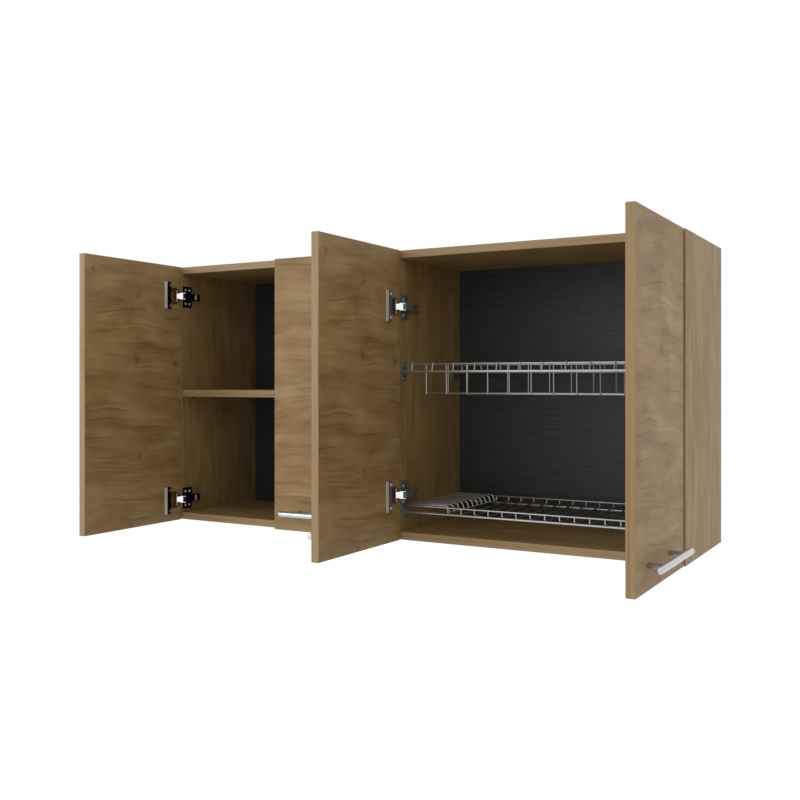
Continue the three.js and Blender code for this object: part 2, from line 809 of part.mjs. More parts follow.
// A door with its handle and hinges, on the left side of a carcase for a hand of 1, on the right for -1
function addDoor(carcase, number, hand, hingeHeights, forked, opening) {
  const front = new THREE.Group();
  front.position.set(hand > 0 ? 0 : carcaseWidth, -carcaseDepth, 0);
  carcase.add(front);

  const swing = new THREE.Group();
  swing.position.set(hand * pivot.x, pivot.y, 0);
  swing.rotation.z = -hand * opening;
  front.add(swing);
  placed(swing, named(`door_${number}`, doorPanel(hingeHeights), oak, hand));
  const handleMiddle = hand * (doorWidth / 2 + handleShift - pivotInset);
  const handleAxis = pivotDepth - doorThickness - handleStandoff;
  placed(swing, named(`handle_${number}`, handle(), satinSteel), handleMiddle, handleAxis, handleHeight);

  const armMaterial = forked ? greySteel : darkSteel;
  for (const [level, height] of Object.entries(hingeHeights)) {
    const cupMiddle = hand * (cupInset - pivotInset);
    const cup = named(`hinge_cup_${number}_${level}`, hingeCup(), armMaterial, hand);
    placed(swing, cup, cupMiddle, pivotDepth, height);
    placed(front, named(`hinge_arm_${number}_${level}`, hingeArm(forked), armMaterial, hand), 0, 0, height);
    const link = named(`hinge_link_${number}_${level}`, hingeLink(), brightSteel, hand);
    placed(front, link, hand * armPin.x, armPin.y, height);
    link.rotation.z = hand * (linkClosedTurn + (linkSwing * opening) / quarterTurn);
  }
}

function addRack(carcase, name, rack, railHeight, railPlaces, bracketHeight) {
  placed(carcase, named(`${name}_rack`, rack, satinSteel));
  for (const [end, y] of Object.entries(railPlaces)) {
    const bracket = rackBracket(bracketHeight);
    const left = named(`${name}_bracket_left_${end}`, bracket, greyPlastic);
    const right = named(`${name}_bracket_right_${end}`, bracket, greyPlastic, -1);
    placed(carcase, left, 0, y, railHeight);
    placed(carcase, right, carcaseWidth, y, railHeight);
  }
}

const leftCarcase = addCarcase("left_cabinet", -carcaseWidth - seamGap / 2, true);
const rightCarcase = addCarcase("right_cabinet", seamGap / 2, false);
placed(leftCarcase, named("shelf", shelfPanel(), oak));

addDoor(leftCarcase, 1, 1, leftHingeHeights, false, doorOpenings.door_1);
addDoor(leftCarcase, 2, -1, leftHingeHeights, false, doorOpenings.door_2);
addDoor(rightCarcase, 3, 1, rightHingeHeights, true, doorOpenings.door_3);
addDoor(rightCarcase, 4, -1, rightHingeHeights, true, doorOpenings.door_4);

const plateRackRails = {
  front: plateRackFrontSetback - carcaseDepth,
  rear: plateRackRearSetback - carcaseDepth,
};
addRack(rightCarcase, "plate", plateRack(), plateRackRailHeight, plateRackRails, plateBracketHeight);
const trayRails = {
  front: trayFrontSetback + trayRailSetback - carcaseDepth,
  rear: trayRearSetback - trayRailSetback - carcaseDepth,
};
addRack(rightCarcase, "cup", cupTray(), trayRailHeight, trayRails, trayBracketHeight);

export default cabinet;
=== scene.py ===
"""Kitchen wall cabinet, dressed for a plain studio photograph.

Two oak carcases hang side by side. Each has a pair of doors on concealed hinges. The left carcase holds a
shelf, the right one a wire plate rack and a wire cup tray.

The row frame is in metres: X to the right, Y towards the wall, Z up, with the origin on the wall plane, on
the seam between the carcases and level with their underside.
"""
import logging
import math
from dataclasses import dataclass
from enum import Enum
from typing import Any, Callable, ClassVar, Iterable, Sequence

import bmesh
import bpy
from mathutils import Matrix, Vector


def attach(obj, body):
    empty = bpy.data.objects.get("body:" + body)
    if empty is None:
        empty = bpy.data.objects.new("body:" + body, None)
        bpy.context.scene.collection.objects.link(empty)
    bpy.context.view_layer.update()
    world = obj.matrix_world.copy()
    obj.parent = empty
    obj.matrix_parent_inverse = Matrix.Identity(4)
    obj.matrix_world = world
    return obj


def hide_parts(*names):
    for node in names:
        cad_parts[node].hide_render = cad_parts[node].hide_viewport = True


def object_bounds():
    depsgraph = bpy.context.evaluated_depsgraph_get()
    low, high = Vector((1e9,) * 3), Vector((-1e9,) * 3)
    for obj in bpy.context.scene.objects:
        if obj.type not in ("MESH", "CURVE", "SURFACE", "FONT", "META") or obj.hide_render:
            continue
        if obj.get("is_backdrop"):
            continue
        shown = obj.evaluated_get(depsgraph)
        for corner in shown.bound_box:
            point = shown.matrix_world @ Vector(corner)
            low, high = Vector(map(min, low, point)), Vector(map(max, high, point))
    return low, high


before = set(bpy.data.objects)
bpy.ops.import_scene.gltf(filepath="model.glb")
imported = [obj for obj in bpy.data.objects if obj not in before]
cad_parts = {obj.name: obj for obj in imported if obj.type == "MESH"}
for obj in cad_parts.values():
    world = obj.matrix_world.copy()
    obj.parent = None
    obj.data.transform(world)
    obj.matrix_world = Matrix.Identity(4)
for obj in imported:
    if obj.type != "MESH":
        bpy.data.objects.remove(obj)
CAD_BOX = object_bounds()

LOG = logging.getLogger("wall_cabinet")

Item = bpy.types.Object
Material = bpy.types.Material
Node = bpy.types.Node
Socket = bpy.types.NodeSocket
Point = Sequence[float]
FaceTest = Callable[[Vector, Vector], bool]

MM = 0.001
QUARTER_TURN = math.pi / 2
X_WAY, Y_WAY, Z_WAY = Vector((1, 0, 0)), Vector((0, 1, 0)), Vector((0, 0, 1))

# Shared by all pieces: the boards' thickness, the clearance between pieces, how far from a side panel's outer
# face the things seat that are screwed to its inner one, and how far a cutter runs past
BOARD = 16 * MM
FIT = 0.3 * MM
SEAT = BOARD + FIT
OVERRUN = 1 * MM
# Two points closer than this are one, and a middle this close to a plane lies in it
HAIR = 0.01 * MM
# How squarely a direction follows an axis, as a share, to count as facing that way
FACING = 0.6
# An oblong slot's ends are as round as this share of its half width, so that no two corners meet
SLOT_ROUND_SHARE = 0.98


# Modelling

def activate(*objects: Item) -> Item:
    """Select these objects alone and make the first one active.

    Args:
        objects: The objects.

    Returns:
        The first one.
    """
    bpy.ops.object.select_all(action="DESELECT")
    for item in objects:
        item.select_set(True)
    bpy.context.view_layer.objects.active = objects[0]
    return objects[0]


class Editing:
    """Edit mode on one object, with everything selected at the start."""

    def __init__(self, target: Item, kind: str = "FACE") -> None:
        """Choose the object, and whether vertices, edges or faces are edited."""
        self.target = target
        self.kind = kind

    def __enter__(self) -> "Editing":
        """Enter edit mode."""
        activate(self.target)
        bpy.ops.object.mode_set(mode="EDIT")
        bpy.ops.mesh.select_mode(type=self.kind)
        bpy.ops.mesh.select_all(action="SELECT")
        return self

    def __exit__(self, *error: object) -> None:
        """Leave edit mode."""
        bpy.ops.object.mode_set(mode="OBJECT")

    def pick(self, elements: str, wanted: Callable[[Any], bool]) -> None:
        """Select the vertices, edges or faces that pass a test.

        Args:
            elements: The kind, as the mesh calls it.
            wanted: The test of one of them.
        """
        bpy.ops.mesh.select_all(action="DESELECT")
        mesh = bmesh.from_edit_mesh(self.target.data)
        for element in getattr(mesh, elements):
            element.select_set(wanted(element))
        mesh.select_flush_mode()
        bmesh.update_edit_mesh(self.target.data)

    def faces(self, wanted: FaceTest) -> None:
        """Select the faces whose normal and middle pass the test."""
        self.pick("faces", lambda face: wanted(face.normal, face.calc_center_median()))

    def edges(self, wanted: FaceTest) -> None:
        """Select the edges whose direction and middle pass the test."""
        def passes(start: Vector, end: Vector) -> bool:
            """Test the edge between two places."""
            return wanted((end - start).normalized(), (start + end) / 2)

        self.pick("edges", lambda edge: passes(*(vertex.co for vertex in edge.verts)))

    def bends(self) -> None:
        """Select the vertices along a chain of edges, without its ends."""
        self.pick("verts", lambda vertex: len(vertex.link_edges) > 1)


def named(item: Item, name: str) -> Item:
    """Name an object and its mesh."""
    item.name = item.data.name = name
    return item


def settled(name: str) -> Item:
    """Name the active object and put its place, turn and size into its mesh."""
    item = activate(named(bpy.context.object, name))
    bpy.ops.object.transform_apply(location=True, rotation=True, scale=True)
    return item


def block(name: str, low: Point, high: Point, ease: float = 0.0, steps: int = 2) -> Item:
    """Model a block between two corners.

    Args:
        name: Its name.
        low: The lowest corner.
        high: The highest corner.
        ease: How far its edges are rounded off.
        steps: How many facets a rounded edge has.

    Returns:
        The block.
    """
    bpy.ops.mesh.primitive_cube_add(size=1, location=(Vector(low) + Vector(high)) / 2)
    bpy.context.object.scale = Vector(high) - Vector(low)
    item = settled(name)
    if ease:
        soften(item, ease, steps)
    return item


def soften(item: Item, ease: float, steps: int = 2, wanted: FaceTest | None = None) -> None:
    """Round off an object's edges.

    Args:
        item: The object.
        ease: How far they are rounded off.
        steps: How many facets each has.
        wanted: The test that an edge has to pass, if not all are meant.
    """
    with Editing(item, "EDGE") as editing:
        if wanted:
            editing.edges(wanted)
        bpy.ops.mesh.bevel(offset=ease, segments=steps, affect="EDGES", clamp_overlap=True)


def top_rim(top: float) -> FaceTest:
    """Make the test for the edges round a face in the plane X = top."""
    return lambda way, at: at.x > top - HAIR and abs(way.x) < FACING


def chain(name: str, corners: Sequence[Point]) -> Item:
    """Draw a chain of edges, from one vertex on.

    Args:
        name: Its name.
        corners: The points that it runs through.

    Returns:
        The chain.
    """
    bpy.ops.mesh.primitive_plane_add(size=MM, location=corners[0])
    item = settled(name)
    with Editing(item, "VERT"):
        bpy.ops.mesh.merge(type="CENTER")
        for start, end in zip(corners, corners[1:]):
            step = Vector(end) - Vector(start)
            bpy.ops.mesh.extrude_region_move(TRANSFORM_OT_translate={"value": step})
    return item


def axis_of(way: Vector) -> int:
    """Number the axis that a unit vector follows."""
    return list(way).index(1)


def slab(name: str, outline: Iterable[Point], way: Vector, start: float, end: float, ease: float = 0) -> Item:
    """Model a slab from a flat outline.

    Args:
        name: Its name.
        outline: The outline's corners, as places on the two other axes.
        way: The axis that the slab's thickness follows.
        start: Where the slab starts on that axis.
        end: Where it ends.
        ease: How far its edges are rounded off.

    Returns:
        The slab.
    """
    axis = axis_of(way)
    item = chain(name, [(*corner[:axis], start, *corner[axis:]) for corner in outline])
    with Editing(item, "VERT"):
        bpy.ops.mesh.edge_face_add()
        bpy.ops.mesh.extrude_region_move(TRANSFORM_OT_translate={"value": way * (end - start)})
        bpy.ops.mesh.select_all(action="SELECT")
        bpy.ops.mesh.normals_make_consistent(inside=False)
    if ease:
        soften(item, ease)
    return item


def turned(name: str, profile: Iterable[Point], start: Point, way: Vector, steps: int = 32) -> Item:
    """Turn a profile round an axis.

    Args:
        name: The body's name.
        profile: Pairs of a radius and a distance along the axis.
        start: The point on the axis at distance 0.
        way: The axis, as a unit vector.
        steps: How many facets a full turn has.

    Returns:
        The turned body.
    """
    across = way.orthogonal().normalized()
    item = chain(name, [Vector(start) + way * along + across * radius for radius, along in profile])
    with Editing(item, "VERT"):
        bpy.ops.mesh.spin(steps=steps, angle=4 * QUARTER_TURN, center=start, axis=way)
        bpy.ops.mesh.select_all(action="SELECT")
        bpy.ops.mesh.remove_doubles(threshold=HAIR)
        bpy.ops.mesh.normals_make_consistent(inside=False)
    smooth(item)
    return item


def rod(name: str, radius: float, low: float, high: float, start: Point, way: Vector, steps: int) -> Item:
    """Model a plain rod from low to high along an axis, as turned does."""
    return turned(name, ((0, low), (radius, low), (radius, high), (0, high)), start, way, steps)


def wire(name: str, corners: Sequence[Point], radius: float, bend: float, steps: int = 4) -> Item:
    """Bend a round wire through corner points.

    Args:
        name: The wire's name.
        corners: The points of its middle line.
        radius: The wire's radius.
        bend: How far before a corner its bend starts.
        steps: How many facets a bend has.

    Returns:
        The wire.
    """
    item = chain(name, corners)
    if len(corners) > 2:
        with Editing(item, "VERT") as editing:
            editing.bends()
            bpy.ops.mesh.bevel(offset=bend, segments=steps, affect="VERTICES")
    activate(item)
    bpy.ops.object.convert(target="CURVE")
    item = bpy.context.object
    item.data.bevel_depth = radius
    item.data.bevel_resolution = 2
    item.data.use_fill_caps = True
    bpy.ops.object.convert(target="MESH")
    item = settled(name)
    smooth(item)
    return item


def smooth(item: Item, angle: float = math.radians(35)) -> None:
    """Shade an object smooth, except across edges sharper than the angle."""
    activate(item)
    bpy.ops.object.shade_smooth_by_angle(angle=angle)


def cut(item: Item, *cutters: Item) -> Item:
    """Cut the cutters out of an object and remove them.

    Args:
        item: The object.
        cutters: The shapes that are cut out.

    Returns:
        The object.
    """
    for cutter in cutters:
        modifier = item.modifiers.new("cut", "BOOLEAN")
        modifier.operation = "DIFFERENCE"
        modifier.solver = "EXACT"
        modifier.object = cutter
        activate(item)
        bpy.ops.object.modifier_apply(modifier=modifier.name)
        removed(cutter)
    return item


def joined(name: str, *items: Item) -> Item:
    """Join objects into one.

    Args:
        name: The joined object's name.
        items: The objects.

    Returns:
        The joined object.
    """
    whole = activate(*items)
    bpy.ops.object.join()
    return named(whole, name)


def placed(item: Item, place: Matrix) -> Item:
    """Move an object's mesh, and turn its faces back out if that mirrors it.

    Args:
        item: The object.
        place: The matrix that moves it.

    Returns:
        The object.
    """
    item.data.transform(place)
    if place.determinant() < 0:
        item.data.flip_normals()
    item.data.update()
    return item


def repeated(item: Item, name: str, place: Matrix) -> Item:
    """Copy an object with a mesh of its own and move the copy.

    Args:
        item: The object.
        name: The copy's name.
        place: The matrix that moves it.

    Returns:
        The copy.
    """
    copy = item.copy()
    copy.data = item.data.copy()
    bpy.context.scene.collection.objects.link(copy)
    return placed(named(copy, name), place)


def removed(*items: Item) -> None:
    """Delete cutters, and patterns that copies were made from."""
    for item in items:
        bpy.data.objects.remove(item, do_unlink=True)


def arc(middle: Point, radius: float, start: float, end: float, steps: int) -> list[Point]:
    """List points in a plane on an arc between two angles, which are in quarter turns."""
    angles = (QUARTER_TURN * (start + (end - start) * i / steps) for i in range(steps + 1))
    return [(middle[0] + radius * math.cos(angle), middle[1] + radius * math.sin(angle)) for angle in angles]


def rounded(middle: Point, half: Point, radius: float, steps: int = 4) -> list[Point]:
    """List the corner points of a rectangle with rounded corners, in a plane.

    Args:
        middle: Its middle.
        half: Half its size each way.
        radius: The radius of its corners.
        steps: How many facets a corner has.

    Returns:
        The points.
    """
    points = []
    for turn, (right, up) in enumerate(((1, 1), (-1, 1), (-1, -1), (1, -1))):
        corner = middle[0] + right * (half[0] - radius), middle[1] + up * (half[1] - radius)
        points += arc(corner, radius, turn, turn + 1, steps)
    return points


# Finishes

def colour(code: str) -> tuple[float, float, float, float]:
    """Turn an sRGB hex code into Blender's linear colour."""
    shares = [int(code[i:i + 2], 16) / 255 for i in (1, 3, 5)]
    red, green, blue = (s / 12.92 if s <= 0.04045 else ((s + 0.055) / 1.055) ** 2.4 for s in shares)
    return red, green, blue, 1.0


@dataclass(frozen=True)
class Noise:
    """A noise in the grain: how often it changes in a metre along and across, and its range.

    Its values from low to high count, and come out as values from start to end.
    """

    along: float
    across: float
    detail: float
    low: float
    high: float
    start: float = 0.0
    end: float = 1.0
    twist: float = 0.0


class Graph:
    """The nodes of a material or a world, with short ways to add to them."""

    def __init__(self, owner: Material | bpy.types.World) -> None:
        """Switch the owner's nodes on."""
        owner.use_nodes = True
        self.owner = owner
        self.tree = owner.node_tree

    def feed(self, node: Node, sockets: dict[Any, Any]) -> Node:
        """Give a node's inputs their values.

        Args:
            node: The node.
            sockets: Values, or outputs of other nodes, by the input's name or number.

        Returns:
            The node.
        """
        for name, value in sockets.items():
            if isinstance(value, Socket):
                self.tree.links.new(value, node.inputs[name])
            else:
                node.inputs[name].default_value = value
        return node

    def add(self, kind: str, sockets: dict[Any, Any] | None = None, **settings: Any) -> Node:
        """Add a node.

        Args:
            kind: The node's type, without the prefix that all have.
            sockets: What its inputs are fed.
            settings: Values for its own properties.

        Returns:
            The node.
        """
        node = self.tree.nodes.new("ShaderNode" + kind)
        for name, value in settings.items():
            setattr(node, name, value)
        return self.feed(node, sockets or {})

    def shade(self, sockets: dict[str, Any]) -> Material:
        """Feed a material's own shader and hand the material back."""
        self.feed(self.tree.nodes["Principled BSDF"], sockets)
        return self.owner

    def place(self, **settings: Any) -> Socket:
        """Add the object's own coordinates, moved, turned or stretched."""
        start = self.add("TexCoord").outputs["Object"]
        return self.add("Mapping", {"Vector": start, **settings}).outputs["Vector"]

    def math(self, kind: str, first: Any, second: Any) -> Socket:
        """Work out one value from two."""
        return self.add("Math", {0: first, 1: second}, operation=kind).outputs[0]

    def weighted(self, *parts: tuple[Socket, float]) -> Socket:
        """Add values up by their weights.

        Args:
            parts: Pairs of a value and its weight.

        Returns:
            The sum.
        """
        total, *others = (self.math("MULTIPLY", value, weight) for value, weight in parts)
        for other in others:
            total = self.math("ADD", total, other)
        return total

    def ranged(self, value: Socket, low: float, high: float, start: float = 0.0, end: float = 1.0) -> Socket:
        """Bring the values from low to high into the range from start to end."""
        return self.add("MapRange", {"Value": value, 1: low, 2: high, 3: start, 4: end}).outputs["Result"]

    def vector(self, kind: str, *values: Any) -> Socket:
        """Work out a vector from others."""
        return self.add("VectorMath", dict(enumerate(values)), operation=kind).outputs[0]

    def noise(self, place: Socket, noise: Noise) -> Socket:
        """Add a flat noise.

        Args:
            place: The place in the grain.
            noise: The noise.

        Returns:
            Its value, in its range.
        """
        scaled = self.vector("MULTIPLY", place, (noise.along, noise.across, 0))
        sockets = {"Vector": scaled, "Scale": 1.0, "Detail": noise.detail, "Distortion": noise.twist}
        value = self.add("TexNoise", sockets, noise_dimensions="2D").outputs["Fac"]
        return self.ranged(value, noise.low, noise.high, noise.start, noise.end)

    def ramp(self, value: Socket, stops: Iterable[tuple[float, str]]) -> Socket:
        """Turn a value into a colour.

        Args:
            value: The value.
            stops: Places on the way from 0 to 1, with hex codes.

        Returns:
            The colour.
        """
        node = self.add("ValToRGB", {"Fac": value})
        elements = node.color_ramp.elements
        for i, (place, code) in enumerate(stops):
            stop = elements[i] if i < 2 else elements.new(place)
            stop.position = place
            stop.color = colour(code)
        return node.outputs["Color"]

    def seen_directly(self) -> Socket:
        """Give 1 to camera, mirror and glass rays, and 0 to the rays that light the object."""
        path = self.add("LightPath").outputs
        sight = self.math("MAXIMUM", path["Is Camera Ray"], path["Is Glossy Ray"])
        return self.math("MAXIMUM", sight, path["Is Transmission Ray"])

    def blend(self, share: Socket, first: Socket, code: str) -> Socket:
        """Blend a share of a colour, given as a hex code, into another."""
        return self.add("Mix", {0: share, 6: first, 7: colour(code)}, data_type="RGBA").outputs[2]


@dataclass(frozen=True)
class Finish:
    """A finish, whose material is made once."""

    name: str
    made: ClassVar[dict[str, Material]] = {}

    def mix(self) -> Material:
        """Make the material."""
        raise NotImplementedError

    def material(self) -> Material:
        """Hand back the material, made on its first use."""
        if self.name not in self.made:
            self.made[self.name] = self.mix()
        return self.made[self.name]

    def coat(self, item: Item) -> Item:
        """Give a whole object this finish, and hand it back."""
        item.data.materials.clear()
        item.data.materials.append(self.material())
        return item

    def coat_faces(self, item: Item, wanted: FaceTest) -> None:
        """Give some faces of an object this finish, beside the one it has.

        Args:
            item: The object.
            wanted: The test that a face has to pass.
        """
        item.data.materials.append(self.material())
        with Editing(item) as editing:
            editing.faces(wanted)
            item.active_material_index = len(item.data.materials) - 1
            bpy.ops.object.material_slot_assign()


@dataclass(frozen=True)
class Plain(Finish):
    """A finish with one colour: bare metal, coated metal or plastic."""

    code: str
    metallic: float
    roughness: float

    def mix(self) -> Material:
        """Make the material."""
        sockets = {"Base Color": colour(self.code), "Metallic": self.metallic, "Roughness": self.roughness}
        return Graph(bpy.data.materials.new(self.name)).shade(sockets)


@dataclass(frozen=True)
class Lined(Finish):
    """A finish with fine lines: edge banding or the back sheets' coating."""

    stretch: Point
    stops: tuple[tuple[float, str], ...]
    detail: float = 3.0
    roughness: float = 0.5

    def mix(self) -> Material:
        """Make the material."""
        graph = Graph(bpy.data.materials.new(self.name))
        sockets = {"Vector": graph.place(Scale=self.stretch), "Scale": 1.0, "Detail": self.detail}
        lines = graph.add("TexNoise", sockets).outputs["Fac"]
        return graph.shade({"Base Color": graph.ramp(lines, self.stops), "Roughness": self.roughness})


@dataclass(frozen=True)
class Paper:
    """A sort of oak decor paper: its share of knots, its contrast and its share of fine stripes."""

    knots: float
    contrast: float
    stripes: float


# Calm paper on the carcases and the shelf, knotty paper on the doors
CARCASE_PAPER = Paper(0.03, 0.34, 0.36)
DOOR_PAPER = Paper(0.5, 0.46, 0.22)

# The grain wanders slowly and ripples, in metres
DRIFT = Noise(2.2, 3.5, 2.0, 0.3, 0.7, -0.012, 0.012)
RIPPLE = Noise(9.0, 14.0, 2.0, 0.3, 0.7, -0.0025, 0.0025)
# Tones: broad ones and fine bands that share one weight, fibres and blotches with a weight each
BROAD = Noise(3.2, 12.0, 4.0, 0.3, 0.7, twist=0.6)
BANDS = Noise(5.0, 80.0, 4.0, 0.28, 0.72, twist=0.2)
FIBRES = Noise(40.0, 900.0, 2.0, 0.25, 0.75)
BLOTCHES = Noise(13.0, 24.0, 3.0, 0.3, 0.7)
TONE_WEIGHT, FIBRE_WEIGHT, BLOTCH_WEIGHT = 0.66, 0.1, 0.24
# Reddish patches, and how strong they are beside the contrast
WARMTH = Noise(4.0, 8.0, 3.0, 0.4, 0.68, twist=0.5)
WARMTH_WEIGHT = 0.85
# Short dark streaks in patches along the grain, and a few long cracks that follow its bends
STREAKS = Noise(6.5, 160.0, 3.0, 0.54, 0.74, 0.0, 0.5)
PATCHES = Noise(6.0, 16.0, 2.0, 0.4, 0.62, 0.25, 1.0)
CRACK_PLACES = Noise(4.5, 26.0, 1.0, 0.6, 0.68, 0.0, 0.55)
CRACKS_A_METRE, CRACK_LOW, CRACK_HIGH = 24.0, 0.01, 0.05
# Knots sit in cells with rough borders, as smudges with a soft ring that darkens and bends the grain
KNOT_CELLS = (7.0, 9.5, 0.0)
BORDER_SCALE, BORDER_JOLT = 70.0, (0.034, 0.022, 0.0)
KNOT_RING, RING_BEND, RING_DARK = 0.3, 0.009, 0.1
KNOT_SMALL, KNOT_LARGE, KNOT_SOFT, KNOT_DARK = 0.04, 0.11, 0.7, 0.5
KNOT_STEP = 0.02
OAK_STOPS = ((0.1, "#785B30"), (0.9, "#B49C6C"), (0.38, "#917545"), (0.62, "#A58A59"))
OAK_WARM, OAK_DARK = "#8B6139", "#553C1F"
OAK_ROUGHNESS = 0.56


@dataclass(frozen=True)
class Oak(Finish):
    """Oak decor paper on a board, with the grain along one way and across another."""

    along: Vector
    across: Vector
    shift: Point
    paper: Paper

    def knots(self, graph: Graph, grain: Socket) -> tuple[Socket, Socket]:
        """Make the knots.

        Args:
            graph: The material's nodes.
            grain: The place in the grain.

        Returns:
            The soft ring round each knot and its dark middle.
        """
        rough = graph.add("TexNoise", {"Vector": grain, "Scale": BORDER_SCALE, "Detail": 2.0},
                          noise_dimensions="2D").outputs["Color"]
        place = graph.vector("MULTIPLY", graph.vector("MULTIPLY_ADD", rough, BORDER_JOLT, grain), KNOT_CELLS)
        cells = graph.add("TexVoronoi", {"Vector": place, "Scale": 1.0}, voronoi_dimensions="2D").outputs
        lots = graph.add("SeparateColor", {"Color": cells["Color"]}).outputs
        chosen = graph.ranged(lots["Red"], 1 - self.paper.knots, 1 - self.paper.knots + KNOT_STEP)
        ring = graph.ranged(cells["Distance"], 0.0, KNOT_RING, 1.0, 0.0)
        size = graph.ranged(lots["Green"], 0.0, 1.0, KNOT_SMALL, KNOT_LARGE)
        core = graph.math("SUBTRACT", 1.0, graph.math("DIVIDE", cells["Distance"], size))
        core = graph.ranged(core, 0.0, KNOT_SOFT, 0.0, KNOT_DARK)
        return graph.math("MULTIPLY", ring, chosen), graph.math("MULTIPLY", core, chosen)

    def tones(self, graph: Graph, grain: Socket, bent: Socket) -> Socket:
        """Make the wood's colour without its dark marks.

        Args:
            graph: The material's nodes.
            grain: The place in the grain.
            bent: The same place, bent by the wandering grain.

        Returns:
            The colour.
        """
        tone = graph.weighted(
            (graph.noise(bent, BROAD), TONE_WEIGHT - self.paper.stripes),
            (graph.noise(bent, BANDS), self.paper.stripes),
            (graph.noise(bent, FIBRES), FIBRE_WEIGHT),
            (graph.noise(grain, BLOTCHES), BLOTCH_WEIGHT),
        )
        tone = graph.ranged(tone, 0.0, 1.0, 0.5 - self.paper.contrast, 0.5 + self.paper.contrast)
        warm = graph.weighted((graph.noise(grain, WARMTH), WARMTH_WEIGHT * self.paper.contrast))
        return graph.blend(warm, graph.ramp(tone, OAK_STOPS), OAK_WARM)

    def mix(self) -> Material:
        """Make the material: broad tones, wavy grain, fine fibres, cracks and knots.

        Returns:
            The material.
        """
        graph = Graph(bpy.data.materials.new(self.name))
        turn = Matrix((self.along, self.across, self.along.cross(self.across))).to_euler()
        grain = graph.place(Rotation=turn, Location=self.shift)
        ring, core = self.knots(graph, grain)
        drift = graph.math("ADD", graph.noise(grain, DRIFT), graph.noise(grain, RIPPLE))
        drift = graph.weighted((drift, 1.0), (ring, RING_BEND))
        bent = graph.vector("ADD", grain, graph.add("CombineXYZ", {"Y": drift}).outputs[0])
        streaks = graph.math("MULTIPLY", graph.noise(bent, STREAKS), graph.noise(grain, PATCHES))
        level = graph.math("MULTIPLY", graph.add("SeparateXYZ", {0: bent}).outputs["Y"], CRACKS_A_METRE)
        cracks = graph.ranged(graph.math("PINGPONG", level, 0.5), CRACK_LOW, CRACK_HIGH, 1.0, 0.0)
        cracks = graph.math("MULTIPLY", cracks, graph.noise(grain, CRACK_PLACES))
        dark = graph.math("MAXIMUM", graph.math("MAXIMUM", streaks, cracks), core)
        depth = 2 * self.paper.contrast
        dark = graph.weighted((dark, depth), (ring, RING_DARK * depth))
        mixed = graph.blend(dark, self.tones(graph, grain, bent), OAK_DARK)
        return graph.shade({"Base Color": mixed, "Roughness": OAK_ROUGHNESS})


# Chromed steel wire gone a little dull, so that it stays mid grey against the dark back
BRIGHT_WIRE = Plain("dull_chromed_wire", "#B4B4B3", 0.85, 0.28)
# Brushed stainless bar, a little duller than the wires
SATIN_BAR = Plain("satin_stainless", "#C1C4C7", 1.0, 0.3)
# Posts between the handle's bar and the door: the bar's steel, darkened as painted shade
SHADED_POST = Plain("painted_shade_post", "#A39C9C", 1.0, 0.3)
# Nickel-plated hinge links, the brightest metal on the cabinet
BRIGHT_LINK = Plain("nickel_plated_link", "#F2F1EE", 1.0, 0.12)
# Black-nickel hinges of the left carcase
DARK_STEEL = Plain("black_nickel", "#232125", 0.85, 0.32)
# Gunmetal hinges of the right carcase, a soft mid grey
GREY_STEEL = Plain("gunmetal", "#6C6C70", 0.3, 0.45)
# The flange's far edge, coloured pale as a painted highlight: the strip where it catches the light
HIGHLIGHT_EDGE = Plain("painted_highlight_edge", "#CFC1B6", 0.2, 0.4)
HIGHLIGHT_FROM_X, HIGHLIGHT_FROM_Y = 0.15, -0.5
# The inside of the cups, coloured brown as a painted reflection of the oak round it
REFLECTION_BOWL = Plain("painted_reflection_bowl", "#86673F", 0.25, 0.5)
# Small screws and clips, near white
NICKEL_SCREW = Plain("nickel_screw", "#ECE8E4", 0.3, 0.35)
# Bronzed shelf pins, which hardly show against the oak
BRONZED_STEEL = Plain("bronzed_steel", "#6A5233", 0.3, 0.5)
# Galvanised bracket screws, cup pins and hangers
PLAIN_STEEL = Plain("galvanised_steel", "#C4C4C2", 1.0, 0.3)
# Moulded grey plastic of the rack brackets
GREY_PLASTIC = Plain("grey_plastic", "#5D5F66", 0.0, 0.45)
# The back sheets' near-black coating, with fine lighter lines along X
ANTHRACITE = Lined("anthracite_back_sheet", (14, 1, 420), ((0.3, "#1D1E20"), (0.7, "#363739")))


def banding(way: Vector, lines_along: float = 3, lines_across: float = 190) -> Lined:
    """Choose the warm oak edge banding, a thin strip with fine lines along it.

    Args:
        way: The way that the edge runs.
        lines_along: How often the lines change in a metre along the edge.
        lines_across: How often they change across it.

    Returns:
        The finish.
    """
    stretch = Vector((lines_across,) * 3) - way * (lines_across - lines_along)
    stops = ((0.3, "#8E7048"), (0.7, "#A98E66"), (0.45, "#9F8258"), (0.55, "#A08860"))
    return Lined(f"banding_{'xyz'[axis_of(way)]}", stretch, stops)


class Slot(Enum):
    """The record's material slots."""

    OAK = "oak_board"
    BACK = "back_board"
    PLAIN_STEEL = "plain_steel"
    DARK_STEEL = "dark_steel"
    GREY_STEEL = "grey_steel"
    LINK = "bright_link"
    WIRE = "bright_wire"
    BAR = "satin_bar"
    PLASTIC = "grey_plastic"


def hand_over(item: Item, body: str, slot: Slot, *nodes: str) -> None:
    """Let a finished piece ride on its body and stand for its CAD nodes.

    Args:
        item: The piece.
        body: The body that it rides on.
        slot: Its material slot, not used.
        nodes: The CAD nodes that it stands for.
    """
    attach(item, body)
    if nodes:
        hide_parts(*nodes)
    LOG.info("%s: %d faces, rides on %s", item.name, len(item.data.polygons), body)


# Boards

CARCASES = "carcases"
# Where a board's paper may start along and across the grain: how many places, and how far apart in metres
PAPER_PLACES = ((97, 0.37), (89, 0.53))


